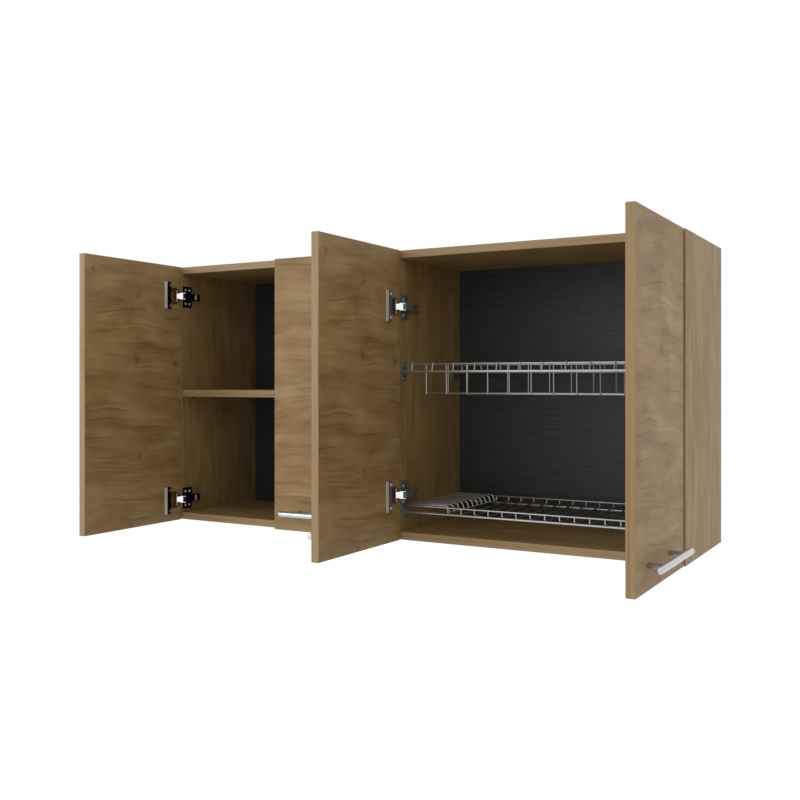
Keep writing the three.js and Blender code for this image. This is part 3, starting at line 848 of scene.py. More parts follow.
@dataclass(frozen=True)
class Board:
    """A coated board between two corners, with banded edges."""

    name: str
    low: Point
    high: Point
    along: Vector
    across: Vector = Y_WAY
    paper: Paper = CARCASE_PAPER
    ease: float = 0.5 * MM

    def build(self, *cutters: Item) -> Item:
        """Model the board with its edges eased, cut the cutters out and dress it."""
        return self.dress(cut(block(self.name, self.low, self.high, self.ease), *cutters))

    def dress(self, item: Item) -> Item:
        """Put decor paper on the wide faces, a stretch of its own, and banding on the narrow ones.

        Args:
            item: The board's object.

        Returns:
            The object.
        """
        seed = sum(ord(letter) * (i + 3) for i, letter in enumerate(self.name))
        shift = (*(seed % places * apart for places, apart in PAPER_PLACES), 0)
        name = f"oak_{self.name}_{'xyz'[axis_of(self.along)]}"
        Oak(name, self.along, self.across, shift, self.paper).coat(item)
        for way, side in ((self.along, self.across), (self.across, self.along)):
            banding(way).coat_faces(item, lambda normal, _, side=side: abs(normal.dot(side)) > FACING)
        return item


@dataclass(frozen=True)
class Carcase:
    """One carcase: sides, top, bottom, back sheet and wall hangers."""

    label: str
    left: float
    width: float = 600 * MM
    height: float = 600 * MM
    depth: float = 300 * MM
    back_recess: float = 19 * MM
    back_thickness: float = 3 * MM
    back_ease: float = 0.3 * MM
    groove_depth: float = 8 * MM

    @property
    def right(self) -> float:
        """The right end along X."""
        return self.left + self.width

    def groove(self) -> tuple[float, float]:
        """Hand back the back sheet's groove along Y."""
        return -self.back_recess - self.back_thickness - FIT, -self.back_recess + FIT

    def groove_cutter(self) -> Item:
        """Model the space that the back sheet fills, with its clearance."""
        start, end = self.groove()
        edge = BOARD - self.groove_depth
        return block("groove", (self.left + edge, start, edge), (self.right - edge, end, self.height - edge))

    def build(self) -> None:
        """Model, dress and hand over the carcase's pieces."""
        first, last = self.left + BOARD + FIT, self.right - BOARD - FIT
        for part, along, start, end, bottom, top in (
            ("left_side", Z_WAY, self.left, self.left + BOARD, 0, self.height),
            ("right_side", Z_WAY, self.right - BOARD, self.right, 0, self.height),
            ("bottom", X_WAY, first, last, 0, BOARD),
            ("top", X_WAY, first, last, self.height - BOARD, self.height),
        ):
            name = f"{self.label}_{part}"
            panel = Board(name, (start, -self.depth, bottom), (end, 0, top), along)
            hand_over(panel.build(self.groove_cutter()), CARCASES, Slot.OAK, name)
        name = f"{self.label}_back"
        edge = BOARD - self.groove_depth + FIT
        low = (self.left + edge, self.groove()[0] + FIT, edge)
        high = (self.right - edge, -self.back_recess, self.height - edge)
        hand_over(ANTHRACITE.coat(block(name, low, high, self.back_ease)), CARCASES, Slot.BACK, name)
        for side in ("left", "right"):
            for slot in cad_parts[f"{self.label}_hanger_{side}"].material_slots:
                slot.material = PLAIN_STEEL.material()


@dataclass(frozen=True)
class Shelf:
    """The left carcase's shelf on its four pins."""

    carcase: Carcase
    top: float = 308 * MM
    side_gap: float = 0.5 * MM
    front_setback: float = 0.5 * MM
    pin_radius: float = 2.5 * MM
    pin_length: float = 9 * MM
    pin_setback: float = 37 * MM
    pin_ease: float = 0.4 * MM
    pin_steps: int = 20
    collar_radius: float = 3.6 * MM
    collar_length: float = 1.2 * MM

    def build(self) -> None:
        """Model, dress and hand over the shelf and its pins."""
        first, last = self.carcase.left + BOARD, self.carcase.right - BOARD
        front, back = -self.carcase.depth, self.carcase.groove()[0]
        underside = self.top - BOARD
        low = (first + self.side_gap, front + self.front_setback, underside)
        panel = Board("shelf", low, (last - self.side_gap, back, self.top), X_WAY)
        hand_over(panel.build(), CARCASES, Slot.OAK, "shelf")
        profile = (
            (0, self.pin_length), (self.pin_radius - self.pin_ease, self.pin_length),
            (self.pin_radius, self.pin_length - self.pin_ease), (self.pin_radius, self.collar_length),
            (self.collar_radius, self.collar_length), (self.collar_radius, 0), (0, 0),
        )
        pins = [
            turned("pin", profile, (x, y, underside - FIT - self.pin_radius), way, self.pin_steps)
            for x, way in ((first, X_WAY), (last, -X_WAY))
            for y in (front + self.pin_setback, back + FIT - self.pin_setback)
        ]
        hand_over(BRONZED_STEEL.coat(joined("shelf_pins", *pins)), CARCASES, Slot.PLAIN_STEEL)


# Fasteners

@dataclass(frozen=True)
class Screw:
    """A countersunk screw's head with a cross recess."""

    radius: float = 3.2 * MM
    height: float = 0.9 * MM
    sunk: float = 0.6 * MM
    crown_share: float = 0.62
    shoulder_share: float = 0.9
    shoulder_height_share: float = 0.6
    edge_height_share: float = 0.15
    cross_length: float = 3.4 * MM
    cross_width: float = 0.8 * MM
    cross_depth: float = 0.9 * MM
    steps: int = 20

    def model(self, start: Point, way: Vector) -> Item:
        """Model the head on a face.

        Args:
            start: The head's middle on the face.
            way: The way that it points.

        Returns:
            The head.
        """
        profile = (
            (0, self.height), (self.radius * self.crown_share, self.height),
            (self.radius * self.shoulder_share, self.height * self.shoulder_height_share),
            (self.radius, self.height * self.edge_height_share), (self.radius, -self.sunk), (0, -self.sunk),
        )
        head = turned("screw", profile, (0, 0, 0), Z_WAY, self.steps)
        low, high = self.height - self.cross_depth, self.height + OVERRUN
        long, wide = self.cross_length / 2, self.cross_width / 2
        for x, y in ((long, wide), (wide, long)):
            cut(head, block("slot", (-x, -y, low), (x, y, high)))
        smooth(head)
        turn = Z_WAY.rotation_difference(way).to_matrix().to_4x4()
        return placed(head, Matrix.Translation(start) @ turn)


# Hinges, in a left-hand hinge's frame: X from the side's outer face, Y from the carcase's front, door to +X

@dataclass(frozen=True)
class Hinge:
    """A concealed hinge: cup and flange in the door, link, and arm on its mounting plate."""

    forked: bool
    pivot_inset: float = 6.5 * MM
    pivot_depth: float = 10.5 * MM
    cup_inset: float = 22.5 * MM
    cup_radius: float = 17.5 * MM
    cup_wall: float = 0.8 * MM
    cup_depth: float = 12 * MM
    cup_steps: int = 48
    rim_radius: float = 19 * MM
    rim_height: float = 1 * MM
    flange_start: float = 36.5 * MM
    flange_end: float = 56 * MM
    flange_half: float = 31.5 * MM
    flange_thickness: float = 2.7 * MM
    flange_bevel: float = 6.5 * MM
    flange_lip: float = 0.8 * MM
    flange_ease: float = 0.35 * MM
    flange_screw_inset: float = 40.5 * MM
    flange_screw_height: float = 24 * MM
    link_seat_inset: float = 13 * MM
    link_seat_depth: float = 1.5 * MM
    link_reach: float = 25 * MM
    link_wall: float = 1.1 * MM
    link_half: float = 7.6 * MM
    link_end: float = 2 * MM
    link_tip: float = 7.5 * MM
    link_tip_half: float = 6.2 * MM
    link_boss: float = 3.4 * MM
    link_ease: float = 0.2 * MM
    pin_radius: float = 1.3 * MM
    pin_head: float = 0.4 * MM
    pin_steps: int = 16
    nose_half: float = 6 * MM
    nose_radius: float = 3.4 * MM
    nose_gap: float = 0.8 * MM
    arm_start: float = 4 * MM
    arm_half: float = 8 * MM
    arm_wall: float = 1.4 * MM
    arm_rise: float = 13 * MM
    arm_ease: float = 1.6 * MM
    closed_length: float = 44 * MM
    forked_length: float = 58 * MM
    fork_length: float = 25 * MM
    fork_half_gap: float = 3.6 * MM
    adjuster_setback: float = 5 * MM
    adjuster_cross: float = 0.6 * MM
    clip_setback: float = 26 * MM
    clip_length: float = 6 * MM
    clip_half: float = 6 * MM
    clip_rise: float = 0.5 * MM
    plate_start: float = 1 * MM
    plate_length: float = 29 * MM
    plate_half: float = 25 * MM
    plate_thickness: float = 2.2 * MM
    plate_corner: float = 2 * MM
    plate_screw_height: float = 16 * MM
    plate_screw_setback: float = 9 * MM
    plate_row: float = 13 * MM
    plate_slot_radius: float = 2.2 * MM
    plate_slot_half: float = 4 * MM
    plate_slot_cut: float = 4 * MM
    reveal: float = 1.5 * MM
    bumper: float = 2.2 * MM
    ease: float = 0.3 * MM

    @property
    def finish(self) -> Plain:
        """The finish of the cup and the arm."""
        return GREY_STEEL if self.forked else DARK_STEEL

    @property
    def slot(self) -> Slot:
        """The record's slot of the cup and the arm."""
        return Slot.GREY_STEEL if self.forked else Slot.DARK_STEEL

    @property
    def pivot(self) -> Vector:
        """The swing axis."""
        return Vector((self.reveal + self.pivot_inset, -self.bumper - self.pivot_depth, 0))

    @property
    def seat(self) -> Vector:
        """The link's seat in the cup, from the swing axis, with the door closed."""
        return Vector((self.link_seat_inset - self.pivot_inset, self.pivot_depth - self.link_seat_depth, 0))

    @property
    def arm_pin(self) -> Vector:
        """The link's pin in the arm's nose."""
        way = Matrix.Rotation(-QUARTER_TURN / 2, 3, "Z") @ self.seat.normalized()
        return self.pivot + way * self.link_reach

    def link_line(self, opening: float) -> Vector:
        """The way from the arm's pin to the link's seat in the cup."""
        return self.pivot + Matrix.Rotation(-opening, 3, "Z") @ self.seat - self.arm_pin

    def swing_place(self, opening: float) -> Matrix:
        """The door's own frame, on the swing axis."""
        return Matrix.Translation(self.pivot) @ Matrix.Rotation(-opening, 4, "Z")

    def cup_place(self, opening: float, height: float) -> Matrix:
        """The cup's own frame, on the door's inner face."""
        offset = (self.cup_inset - self.pivot_inset, self.pivot_depth, height)
        return self.swing_place(opening) @ Matrix.Translation(offset)

    def link_place(self, opening: float, height: float) -> Matrix:
        """The link's own frame, on the arm's pin."""
        line = self.link_line(opening)
        turn = Matrix.Rotation(math.atan2(line.y, line.x), 4, "Z")
        return Matrix.Translation(self.arm_pin + Z_WAY * height) @ turn

    def flange(self) -> Item:
        """Model the cup's flange, with a painted highlight on its far edge.

        Returns:
            The flange.
        """
        face = FIT + self.flange_thickness
        start, end = self.flange_start - self.cup_inset, self.flange_end - self.cup_inset
        lip, bevel = (end, FIT + self.flange_lip), (end - self.flange_bevel, face)
        outline = ((start, FIT), (end, FIT), lip, bevel, (start, face))
        flange = slab("flange", outline, Z_WAY, -self.flange_half, self.flange_half, self.flange_ease)
        inner = self.cup_radius - self.cup_wall
        cut(flange, rod("mouth", inner, -OVERRUN, face + OVERRUN, (0, 0, 0), Y_WAY, self.cup_steps))
        self.finish.coat(flange)
        # The pale far edge is a painted highlight
        HIGHLIGHT_EDGE.coat_faces(flange, lambda way, _: way.x > HIGHLIGHT_FROM_X and way.y > HIGHLIGHT_FROM_Y)
        return flange

    def cup(self) -> Item:
        """Model the cup with its flange, rim, pin stubs and two screws.

        Returns:
            The cup.
        """
        inner, floor = self.cup_radius - self.cup_wall, self.cup_wall - self.cup_depth
        shell = turned("shell", (
            (0, -self.cup_depth), (self.cup_radius, -self.cup_depth), (self.cup_radius, FIT),
            (self.rim_radius, FIT), (self.rim_radius, self.rim_height - self.ease),
            (self.rim_radius - self.ease, self.rim_height), (inner, self.rim_height),
            (inner, floor), (0, floor),
        ), (0, 0, 0), Y_WAY, self.cup_steps)
        self.finish.coat(shell)
        # The bowl's brown is a painted reflection of the oak
        REFLECTION_BOWL.coat_faces(shell, lambda _, at: math.hypot(at.x, at.z) < inner + HAIR)
        pieces = [self.flange(), shell]
        seat = (self.link_seat_inset - self.cup_inset, -self.link_seat_depth, 0)
        low, high = self.link_tip_half + FIT, math.sqrt(inner ** 2 - seat[0] ** 2)
        screws = NICKEL_SCREW if self.forked else GREY_STEEL
        for sign in (-1, 1):
            height = sign * self.flange_screw_height
            place = (self.flange_screw_inset - self.cup_inset, FIT + self.flange_thickness, height)
            pieces.append(screws.coat(Screw().model(place, Y_WAY)))
            stub = rod("stub", self.pin_radius, low, high, seat, Z_WAY * sign, self.pin_steps)
            pieces.append(PLAIN_STEEL.coat(stub))
        return joined("cup_pattern", *pieces)

    def link(self) -> Item:
        """Model the link: a bent channel with a boss at its pin and a narrow end for the cup.

        Returns:
            The link.
        """
        length, half = self.link_line(0).length, self.link_half
        outline = arc((0, 0), self.link_boss, 1, 3, 12) + arc((length, 0), self.link_end, -1, 1, 8)
        body = slab("link", outline, Z_WAY, -half, half)
        past = self.link_boss + OVERRUN
        web, web_face = self.nose_radius + self.nose_gap, self.link_end - self.link_wall
        tip = length - self.link_tip
        opening = ((-past, past), (web, past), (web, web_face), (tip, web_face), (tip, -past), (-past, -past))
        cut(body, slab("hollow", opening, Z_WAY, self.link_wall - half, half - self.link_wall))
        for low, high in ((-half - OVERRUN, -self.link_tip_half), (self.link_tip_half, half + OVERRUN)):
            cut(body, block("side", (tip, -past, low), (length + past, past, high)))
        soften(body, self.link_ease, 1, lambda way, _: abs(way.z) < FACING)
        smooth(body)
        head = half + self.pin_head
        pin = rod("pin", self.pin_radius, -head, head, (0, 0, 0), Z_WAY, self.pin_steps)
        return BRIGHT_LINK.coat(joined("link_pattern", body, pin))

    @property
    def arm_span(self) -> tuple[float, float]:
        """Where the arm's sides start and its top face lies, along X."""
        return SEAT + self.plate_thickness / 2, SEAT + self.arm_rise

    def channel(self) -> Item:
        """Model the arm's channel, open at the plate and, if forked, at its slit tail.

        Returns:
            The channel.
        """
        (low, top), half, wall = self.arm_span, self.arm_half, self.arm_wall
        end = self.arm_start + (self.forked_length if self.forked else self.closed_length)
        body = block("arm", (low, self.arm_start, -half), (top, end, half))
        soften(body, self.arm_ease, 3, top_rim(top))
        tail = end + OVERRUN if self.forked else end - wall
        start = (low - OVERRUN, self.arm_start + wall, wall - half)
        cut(body, block("hollow", start, (top - wall, tail, half - wall)))
        if self.forked:
            gap = self.fork_half_gap
            outline = rounded((end, 0), (self.fork_length, gap), gap * SLOT_ROUND_SHARE)
            cut(body, slab("fork", outline, X_WAY, low - OVERRUN, top + OVERRUN))
        smooth(body)
        return body

    def nose(self) -> Item:
        """Model the arm's nose, round its pin."""
        outline = arc(self.arm_pin.xy, self.nose_radius, 2, 4, 8)
        outline += [(x, self.arm_start + self.arm_wall) for x in reversed(self.arm_span)]
        nose = slab("nose", outline, Z_WAY, -self.nose_half, self.nose_half)
        smooth(nose)
        return nose

    def plate(self) -> tuple[Item, list[Item]]:
        """Model the mounting plate and its screws.

        Returns:
            The plate, and the screws.
        """
        half, top = self.plate_length / 2, SEAT + self.plate_thickness
        outline = rounded((self.plate_start + half, 0), (half, self.plate_half), self.plate_corner)
        plate = slab("plate", outline, X_WAY, SEAT, top)
        front, rear = self.plate_screw_setback, self.plate_screw_setback + self.plate_row
        radius, screws = self.plate_slot_radius, []
        for z in (-self.plate_screw_height, self.plate_screw_height):
            screws.append(Screw().model((top, front, z), X_WAY))
            if self.forked:
                outline = rounded((rear, z), (radius, self.plate_slot_half), radius * SLOT_ROUND_SHARE)
                cut(plate, slab("slot", outline, X_WAY, SEAT - OVERRUN, SEAT + self.plate_slot_cut))
            else:
                screws.append(Screw().model((top, rear, z), X_WAY))
        soften(plate, self.ease, 2, top_rim(top))
        smooth(plate)
        return plate, screws

    def arm(self) -> Item:
        """Model the arm on its mounting plate, with a bright clip or a forked tail.

        Returns:
            The arm.
        """
        top, (plate, bright) = self.arm_span[1], self.plate()
        dark = self.finish.coat(joined("arm_pattern", self.channel(), self.nose(), plate))
        middle = (top, self.arm_start + self.adjuster_setback, 0)
        adjuster = self.finish.coat(Screw(cross_depth=self.adjuster_cross).model(middle, X_WAY))
        if not self.forked:
            start, half = self.arm_start + self.clip_setback, self.clip_half
            corner = (top + self.clip_rise, start + self.clip_length, half)
            bright.append(block("clip", (top - self.arm_wall, start, -half), corner, self.ease))
        return joined("arm_pattern", dark, adjuster, NICKEL_SCREW.coat(joined("arm_screws", *bright)))


@dataclass(frozen=True)
class Handle:
    """A round bar on two posts, its middle at the origin and the door towards +Y."""

    length: float = 200 * MM
    bar_radius: float = 6 * MM
    bar_ease: float = 2.2 * MM
    bar_steps: int = 40
    post_radius: float = 4.5 * MM
    post_ease: float = 0.4 * MM
    spacing: float = 128 * MM
    standoff: float = 27.5 * MM

    def model(self) -> Item:
        """Model the bar with rounded ends and the posts with an eased foot.

        Returns:
            The handle.
        """
        half, ease = self.length / 2, self.bar_ease
        ends = arc((self.bar_radius - ease, half - ease), ease, 0, 1, 5)
        profile = [(0, -half), *((radius, -x) for radius, x in reversed(ends)), *ends, (0, half)]
        pieces = [SATIN_BAR.coat(turned("bar", profile, (0, 0, 0), X_WAY, self.bar_steps))]
        foot = self.standoff - FIT
        profile = (
            (0, 0), (self.post_radius, 0), (self.post_radius, foot - self.post_ease),
            (self.post_radius - self.post_ease, foot), (0, foot),
        )
        # The posts' darker steel colour is painted shade
        for x in (-self.spacing / 2, self.spacing / 2):
            pieces.append(SHADED_POST.coat(turned("post", profile, (x, 0, 0), Y_WAY)))
        return joined("handle_pattern", *pieces)


@dataclass(frozen=True)
class Door:
    """A door with its handle and two hinges."""

    number: int
    hand: int
    opening: float
    carcase: Carcase
    hinge: Hinge
    heights: tuple[float, float]
    width: float = 294 * MM
    height: float = 600 * MM
    ease: float = 0.8 * MM
    handle_shift: float = 13 * MM
    handle_height: float = 40 * MM

    def panel(self, place: Matrix, body: str) -> None:
        """Model, dress and hand over the door with its two cup bores.

        Args:
            place: The door's own frame.
            body: The body that it rides on.
        """
        hinge = self.hinge
        low = (-hinge.pivot_inset, hinge.pivot_depth - BOARD, 0)
        high = (self.width - hinge.pivot_inset, hinge.pivot_depth, self.height)
        item = block(f"door_{self.number}_panel", low, high, self.ease, 3)
        radius, floor = hinge.cup_radius + FIT, -hinge.cup_depth - FIT
        for height in self.heights:
            start = (hinge.cup_inset - hinge.pivot_inset, hinge.pivot_depth, height)
            cut(item, rod("bore", radius, floor, OVERRUN, start, Y_WAY, hinge.cup_steps))
        placed(item, place)
        Board("oak_front", low, high, Y_WAY if self.opening else X_WAY, Z_WAY, DOOR_PAPER).dress(item)
        hand_over(item, body, Slot.OAK, f"door_{self.number}")

    def build(self, handle: Handle, patterns: dict[str, Item]) -> None:
        """Place the door's panel, handle and hinges.

        Args:
            handle: The handle's sizes.
            patterns: The finished handle, cup, link and arm.
        """
        hinge, opening, leaf = self.hinge, self.opening, f"door_{self.number}_leaf"
        x = self.carcase.left if self.hand > 0 else self.carcase.right
        front = Matrix.Translation((x, -self.carcase.depth, 0)) @ Matrix.Diagonal((self.hand, 1, 1, 1))
        swing = front @ hinge.swing_place(opening)
        self.panel(swing, leaf)
        place = swing @ Matrix.Translation((
            self.width / 2 + self.handle_shift - hinge.pivot_inset,
            hinge.pivot_depth - BOARD - handle.standoff,
            self.handle_height,
        ))
        bar = repeated(patterns["handle"], f"door_{self.number}_handle", place)
        hand_over(bar, leaf, Slot.BAR, f"handle_{self.number}")
        for level, height in zip(("lower", "upper"), self.heights):
            for part, body, slot, place in (
                ("cup", leaf, hinge.slot, hinge.cup_place(opening, height)),
                ("arm", CARCASES, hinge.slot, Matrix.Translation((0, 0, height))),
                ("link", f"door_{self.number}_links", Slot.LINK, hinge.link_place(opening, height)),
            ):
                tag = f"{part}_{self.number}_{level}"
                hand_over(repeated(patterns[part], tag, front @ place), body, slot, f"hinge_{tag}")


# Wire racks

@dataclass(frozen=True)
class RackBracket:
    """A plastic bracket on a side panel, with the rail's axis along X through Y = Z = 0."""

    height: float
    thickness: float = 2.5 * MM
    width: float = 16 * MM
    corner: float = 3 * MM
    ease: float = 0.6 * MM
    screw_inset: float = 5 * MM
    boss_radius: float = 6 * MM
    boss_length: float = 10 * MM
    boss_floor: float = 3 * MM
    bore_radius: float = 2.85 * MM

    def model(self) -> Item:
        """Model the plate, its boss for the rail, and two screws.

        Returns:
            The bracket.
        """
        top, radius, length = SEAT + self.thickness, self.boss_radius, self.boss_length
        outline = rounded((0, 0), (self.width / 2, self.height / 2), self.corner)
        plate = slab("plate", outline, X_WAY, SEAT, top)
        soften(plate, self.ease, 3, top_rim(top))
        boss = turned("boss", (
            (self.bore_radius, self.boss_floor), (self.bore_radius, length), (radius - self.ease, length),
            (radius, length - self.ease), (radius, 0), (0, 0), (0, self.boss_floor),
            (self.bore_radius, self.boss_floor),
        ), (SEAT, 0, 0), X_WAY)
        smooth(plate)
        pieces = [GREY_PLASTIC.coat(joined("bracket", plate, boss))]
        height = self.height / 2 - self.screw_inset
        for z in (-height, height):
            pieces.append(PLAIN_STEEL.coat(Screw().model((top, 0, z), X_WAY)))
        return joined("bracket_pattern", *pieces)


@dataclass(frozen=True)
class Rack:
    """What both wire racks share: rails, welded wires and four brackets."""

    carcase: Carcase
    label: str
    piece: str
    bracket_height: float
    rail_radius: float = 2.5 * MM
    rail_ease: float = 0.6 * MM
    rail_gap: float = 3.5 * MM
    rail_steps: int = 16
    wire_radius: float = 1.5 * MM
    bend: float = 4 * MM

    def span(self, left_gap: float, right_gap: float) -> tuple[float, float]:
        """Hand back the ends along X of what leaves these gaps beside the side panels."""
        return self.carcase.left + BOARD + left_gap, self.carcase.right - BOARD - right_gap

    def rails(self, places: Iterable[Point]) -> list[Item]:
        """Model the rails with eased ends.

        Args:
            places: Their places in Y and Z.

        Returns:
            The rails.
        """
        left, right = self.span(self.rail_gap, self.rail_gap)
        radius, ease, length = self.rail_radius, self.rail_ease, right - left
        profile = (
            (0, 0), (radius - ease, 0), (radius, ease),
            (radius, length - ease), (radius - ease, length), (0, length),
        )
        return [turned("rail", profile, (left, y, z), X_WAY, self.rail_steps) for y, z in places]

    def wire(self, *corners: Point) -> Item:
        """Model one wire."""
        return wire("wire", corners, self.wire_radius, self.bend)

    @staticmethod
    def row(pattern: Item, run: Vector, count: int) -> list[Item]:
        """Repeat a wire evenly along a run that leads from the first of a number of wires to the last."""
        steps = (run * i / (count - 1) for i in range(1, count))
        return [pattern, *(repeated(pattern, "wire", Matrix.Translation(step)) for step in steps)]

    def finish(self, pieces: list[Item], ends: dict[str, Point]) -> None:
        """Join and dress the wires, place the brackets at the rails' ends and hand them all over.

        Args:
            pieces: The rails and wires.
            ends: The rails' places in Y and Z, by their names.
        """
        wires = BRIGHT_WIRE.coat(joined(self.piece, *pieces))
        hand_over(wires, CARCASES, Slot.WIRE, f"{self.label}_rack")
        pattern = RackBracket(self.bracket_height).model()
        for end, (y, z) in ends.items():
            for side, x, sign in (("left", self.carcase.left, 1), ("right", self.carcase.right, -1)):
                place = Matrix.Translation((x, y, z)) @ Matrix.Diagonal((sign, 1, 1, 1))
                item = repeated(pattern, f"{self.label}_holder_{side}_{end}", place)
                hand_over(item, CARCASES, Slot.PLASTIC, f"{self.label}_bracket_{side}_{end}")
        removed(pattern)


@dataclass(frozen=True)
class PlateRack(Rack):
    """The plate rack: twelve bent wires and five long ones on two rails."""

    label: str = "plate"
    piece: str = "plate_rack_wires"
    bracket_height: float = 38 * MM
    wires: int = 12
    side_gap: float = 21.1 * MM
    rail_height: float = 348.5 * MM
    top_height: float = 367 * MM
    floor_height: float = 300.2 * MM
    weld: float = 2.8 * MM
    front_setback: float = 10 * MM
    slot_start: float = 74 * MM
    slot_end: float = 177 * MM
    rear_setback: float = 250 * MM
    lean: float = 5 * MM
    slot_lean: float = 2 * MM
    overhang: float = 10 * MM

    def build(self) -> None:
        """Model, dress and hand over the rack."""
        setbacks = (self.front_setback, self.slot_start, self.slot_end, self.rear_setback)
        front, start, end, rear = (setback - self.carcase.depth for setback in setbacks)
        rail, top, floor = self.rail_height, self.top_height, self.floor_height
        section = (
            (front, rail), (front + self.lean, top), (start, top), (start + self.slot_lean, floor),
            (end, floor), (end, top), (rear - self.lean, top), (rear, rail),
        )
        ends = {"front": (front, rail), "rear": (rear, rail)}
        pieces = self.rails(ends.values())
        first, last = self.span(self.side_gap, self.side_gap)
        bent = self.wire(*((first, y, z) for y, z in section))
        pieces += self.row(bent, X_WAY * (last - first), self.wires)
        # The long wires are welded inside the bends, and only those on the floor run past the ends
        weld, short, long = self.weld, self.wire_radius, self.overhang
        for y, z, past in (
            (front + self.lean + weld, top - weld, short), (start - weld, top - weld, short),
            (start + self.slot_lean + weld, floor + weld, long), (end - weld, floor + weld, long),
            (end + weld, top - weld, short),
        ):
            pieces.append(self.wire((first - past, y, z), (last + past, y, z)))
        self.finish(pieces, ends)


@dataclass(frozen=True)
class CupTray(Rack):
    """The cup tray: a rim, wires across it, and a sloping grid at its left end."""

    label: str = "cup"
    piece: str = "cup_tray_wires"
    bracket_height: float = 22 * MM
    wires: int = 16
    grid_wires: int = 11
    side_gap: float = 14.9 * MM
    grid_span: float = 104.6 * MM
    rim_gap: float = 10 * MM
    rail_setback: float = 5 * MM
    rail_height: float = 56.5 * MM
    rim_height: float = 71 * MM
    front_setback: float = 12 * MM
    rear_setback: float = 252 * MM
    grid_run: float = 5 * MM
    grid_setback: float = 10 * MM
    weld: float = 0.5 * MM

    def build(self) -> None:
        """Model, dress and hand over the tray."""
        front, rear = self.front_setback - self.carcase.depth, self.rear_setback - self.carcase.depth
        rail, rim = self.rail_height, self.rim_height
        floor = rail + self.rail_radius + self.wire_radius - self.weld
        ends = {"front": (front + self.rail_setback, rail), "rear": (rear - self.rail_setback, rail)}
        pieces = self.rails(ends.values())
        left, right = self.span(self.rim_gap, self.rim_gap)
        pieces += [self.wire((left, y, rim), (right, y, rim)) for y in (front, rear)]
        pieces += [self.wire((x, front, rim), (x, rear, rim)) for x in (left, right)]
        first, last = self.span(self.grid_span, self.side_gap)
        section = ((front, rim), (front, floor), (rear, floor), (rear, rim))
        across = self.wire(*((first, y, z) for y, z in section))
        pieces += self.row(across, X_WAY * (last - first), self.wires)
        top = rim + 2 * self.wire_radius - self.weld
        start, end = front + self.grid_setback, rear - self.grid_setback
        grid = self.wire((left, start, top), (first - self.grid_run, start, top), (first, start, floor))
        pieces += self.row(grid, Y_WAY * (end - start), self.grid_wires)
        self.finish(pieces, ends)


# Studio

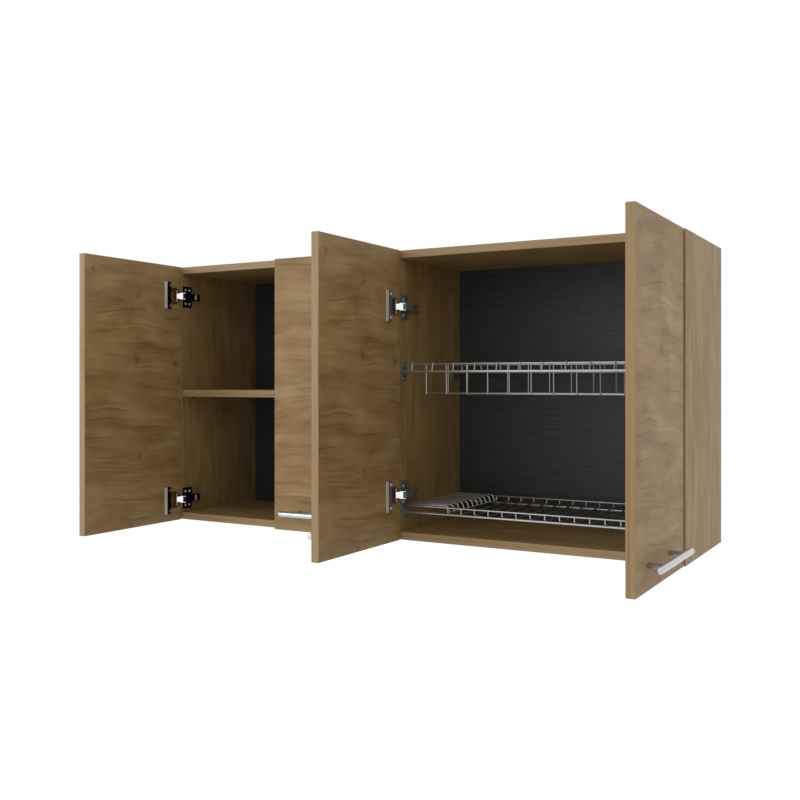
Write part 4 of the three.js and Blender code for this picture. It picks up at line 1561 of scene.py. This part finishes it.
@dataclass(frozen=True)
class Studio:
    """The floor, the light and the camera."""

    floor_height: float = -1.4
    floor_size: float = 24.0
    floor_glow: float = 0.6
    world_strength: float = 0.8
    key_power: float = 32.0
    key_size: float = 2.0
    key_place: Point = (-2.2, -3.0, 1.0)
    key_target: Point = (0.0, -0.3, 0.3)
    camera_place: Point = (1.01399, -2.03221, 0.32891)
    camera_turn: float = math.radians(29.957)
    lens: float = 43.335
    sensor: float = 36.0
    shift_up: float = -0.02368

    def build(self) -> None:
        """Set up the studio."""
        self.floor()
        self.world()
        self.key()
        self.camera()
        bpy.context.scene.view_settings.view_transform = "Standard"

    def world(self) -> None:
        """Light the object softly from all round, in front of pure white."""
        world = bpy.data.worlds.new("white_room")
        bpy.context.scene.world = world
        graph = Graph(world)
        graph.tree.nodes.clear()
        strength = graph.ranged(graph.seen_directly(), 0.0, 1.0, self.world_strength, 1.0)
        light = graph.add("Background", {"Color": colour("#FFFFFF"), "Strength": strength})
        graph.add("OutputWorld", {"Surface": light.outputs[0]})

    def floor(self) -> None:
        """Lay a pale floor that keeps the object's shadow and otherwise looks white."""
        bpy.ops.mesh.primitive_plane_add(size=self.floor_size, location=(0, 0, self.floor_height))
        floor = settled("floor")
        graph = Graph(bpy.data.materials.new("pale_floor"))
        glow = graph.math("MULTIPLY", graph.seen_directly(), self.floor_glow)
        floor.data.materials.append(graph.shade({
            "Base Color": colour("#BCBCBC"), "Roughness": 1.0,
            "Emission Color": colour("#FFFFFF"), "Emission Strength": glow,
        }))
        floor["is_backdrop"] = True

    def key(self) -> None:
        """Hang one large soft lamp in front, low on the left."""
        data = bpy.data.lights.new("softbox", "AREA")
        data.shape = "SQUARE"
        data.size = self.key_size
        data.energy = self.key_power
        lamp = bpy.data.objects.new("softbox", data)
        lamp.location = self.key_place
        way = Vector(self.key_target) - Vector(self.key_place)
        lamp.rotation_euler = way.to_track_quat("-Z", "Y").to_euler()
        bpy.context.scene.collection.objects.link(lamp)

    def camera(self) -> None:
        """Stand the camera where the photograph was taken."""
        data = bpy.data.cameras.new("camera")
        data.lens = self.lens
        data.sensor_width = self.sensor
        data.shift_y = self.shift_up
        camera = bpy.data.objects.new("camera", data)
        camera.location = self.camera_place
        camera.rotation_euler = (QUARTER_TURN, 0, self.camera_turn)
        bpy.context.scene.collection.objects.link(camera)
        bpy.context.scene.camera = camera


def write_sizes() -> None:
    """Work out the CAD model's box and the dressed model's box, as plain lists."""
    boxes = {"cad": CAD_BOX, "visual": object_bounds()}
    plain = {name: [[round(float(value), 6) for value in corner] for corner in box] for name, box in boxes.items()}


# Half the seam between the carcases, and the heights of each carcase's hinges
HALF_SEAM = 0.2 * MM
LEFT_HEIGHTS = (49 * MM, 530 * MM)
RIGHT_HEIGHTS = (94.5 * MM, 482 * MM)


def main() -> None:
    """Build the cabinet and its studio."""
    logging.basicConfig(level=logging.INFO, format="%(name)s: %(message)s")
    left, right = Carcase("left_cabinet", -Carcase.width - HALF_SEAM), Carcase("right_cabinet", HALF_SEAM)
    for part in (left, right, Shelf(left), PlateRack(right), CupTray(right)):
        part.build()
    handle = Handle()
    bar = handle.model()
    for carcase, hinge, heights, doors in (
        (left, Hinge(forked=False), LEFT_HEIGHTS, ((1, 1, QUARTER_TURN), (2, -1, 0.0))),
        (right, Hinge(forked=True), RIGHT_HEIGHTS, ((3, 1, QUARTER_TURN), (4, -1, QUARTER_TURN))),
    ):
        patterns = {"handle": bar, "cup": hinge.cup(), "link": hinge.link(), "arm": hinge.arm()}
        for number, hand, opening in doors:
            Door(number, hand, opening, carcase, hinge, heights).build(handle, patterns)
        removed(patterns["cup"], patterns["link"], patterns["arm"])
    removed(bar)
    Studio().build()


if __name__ == "__main__":
    main()
    write_sizes()
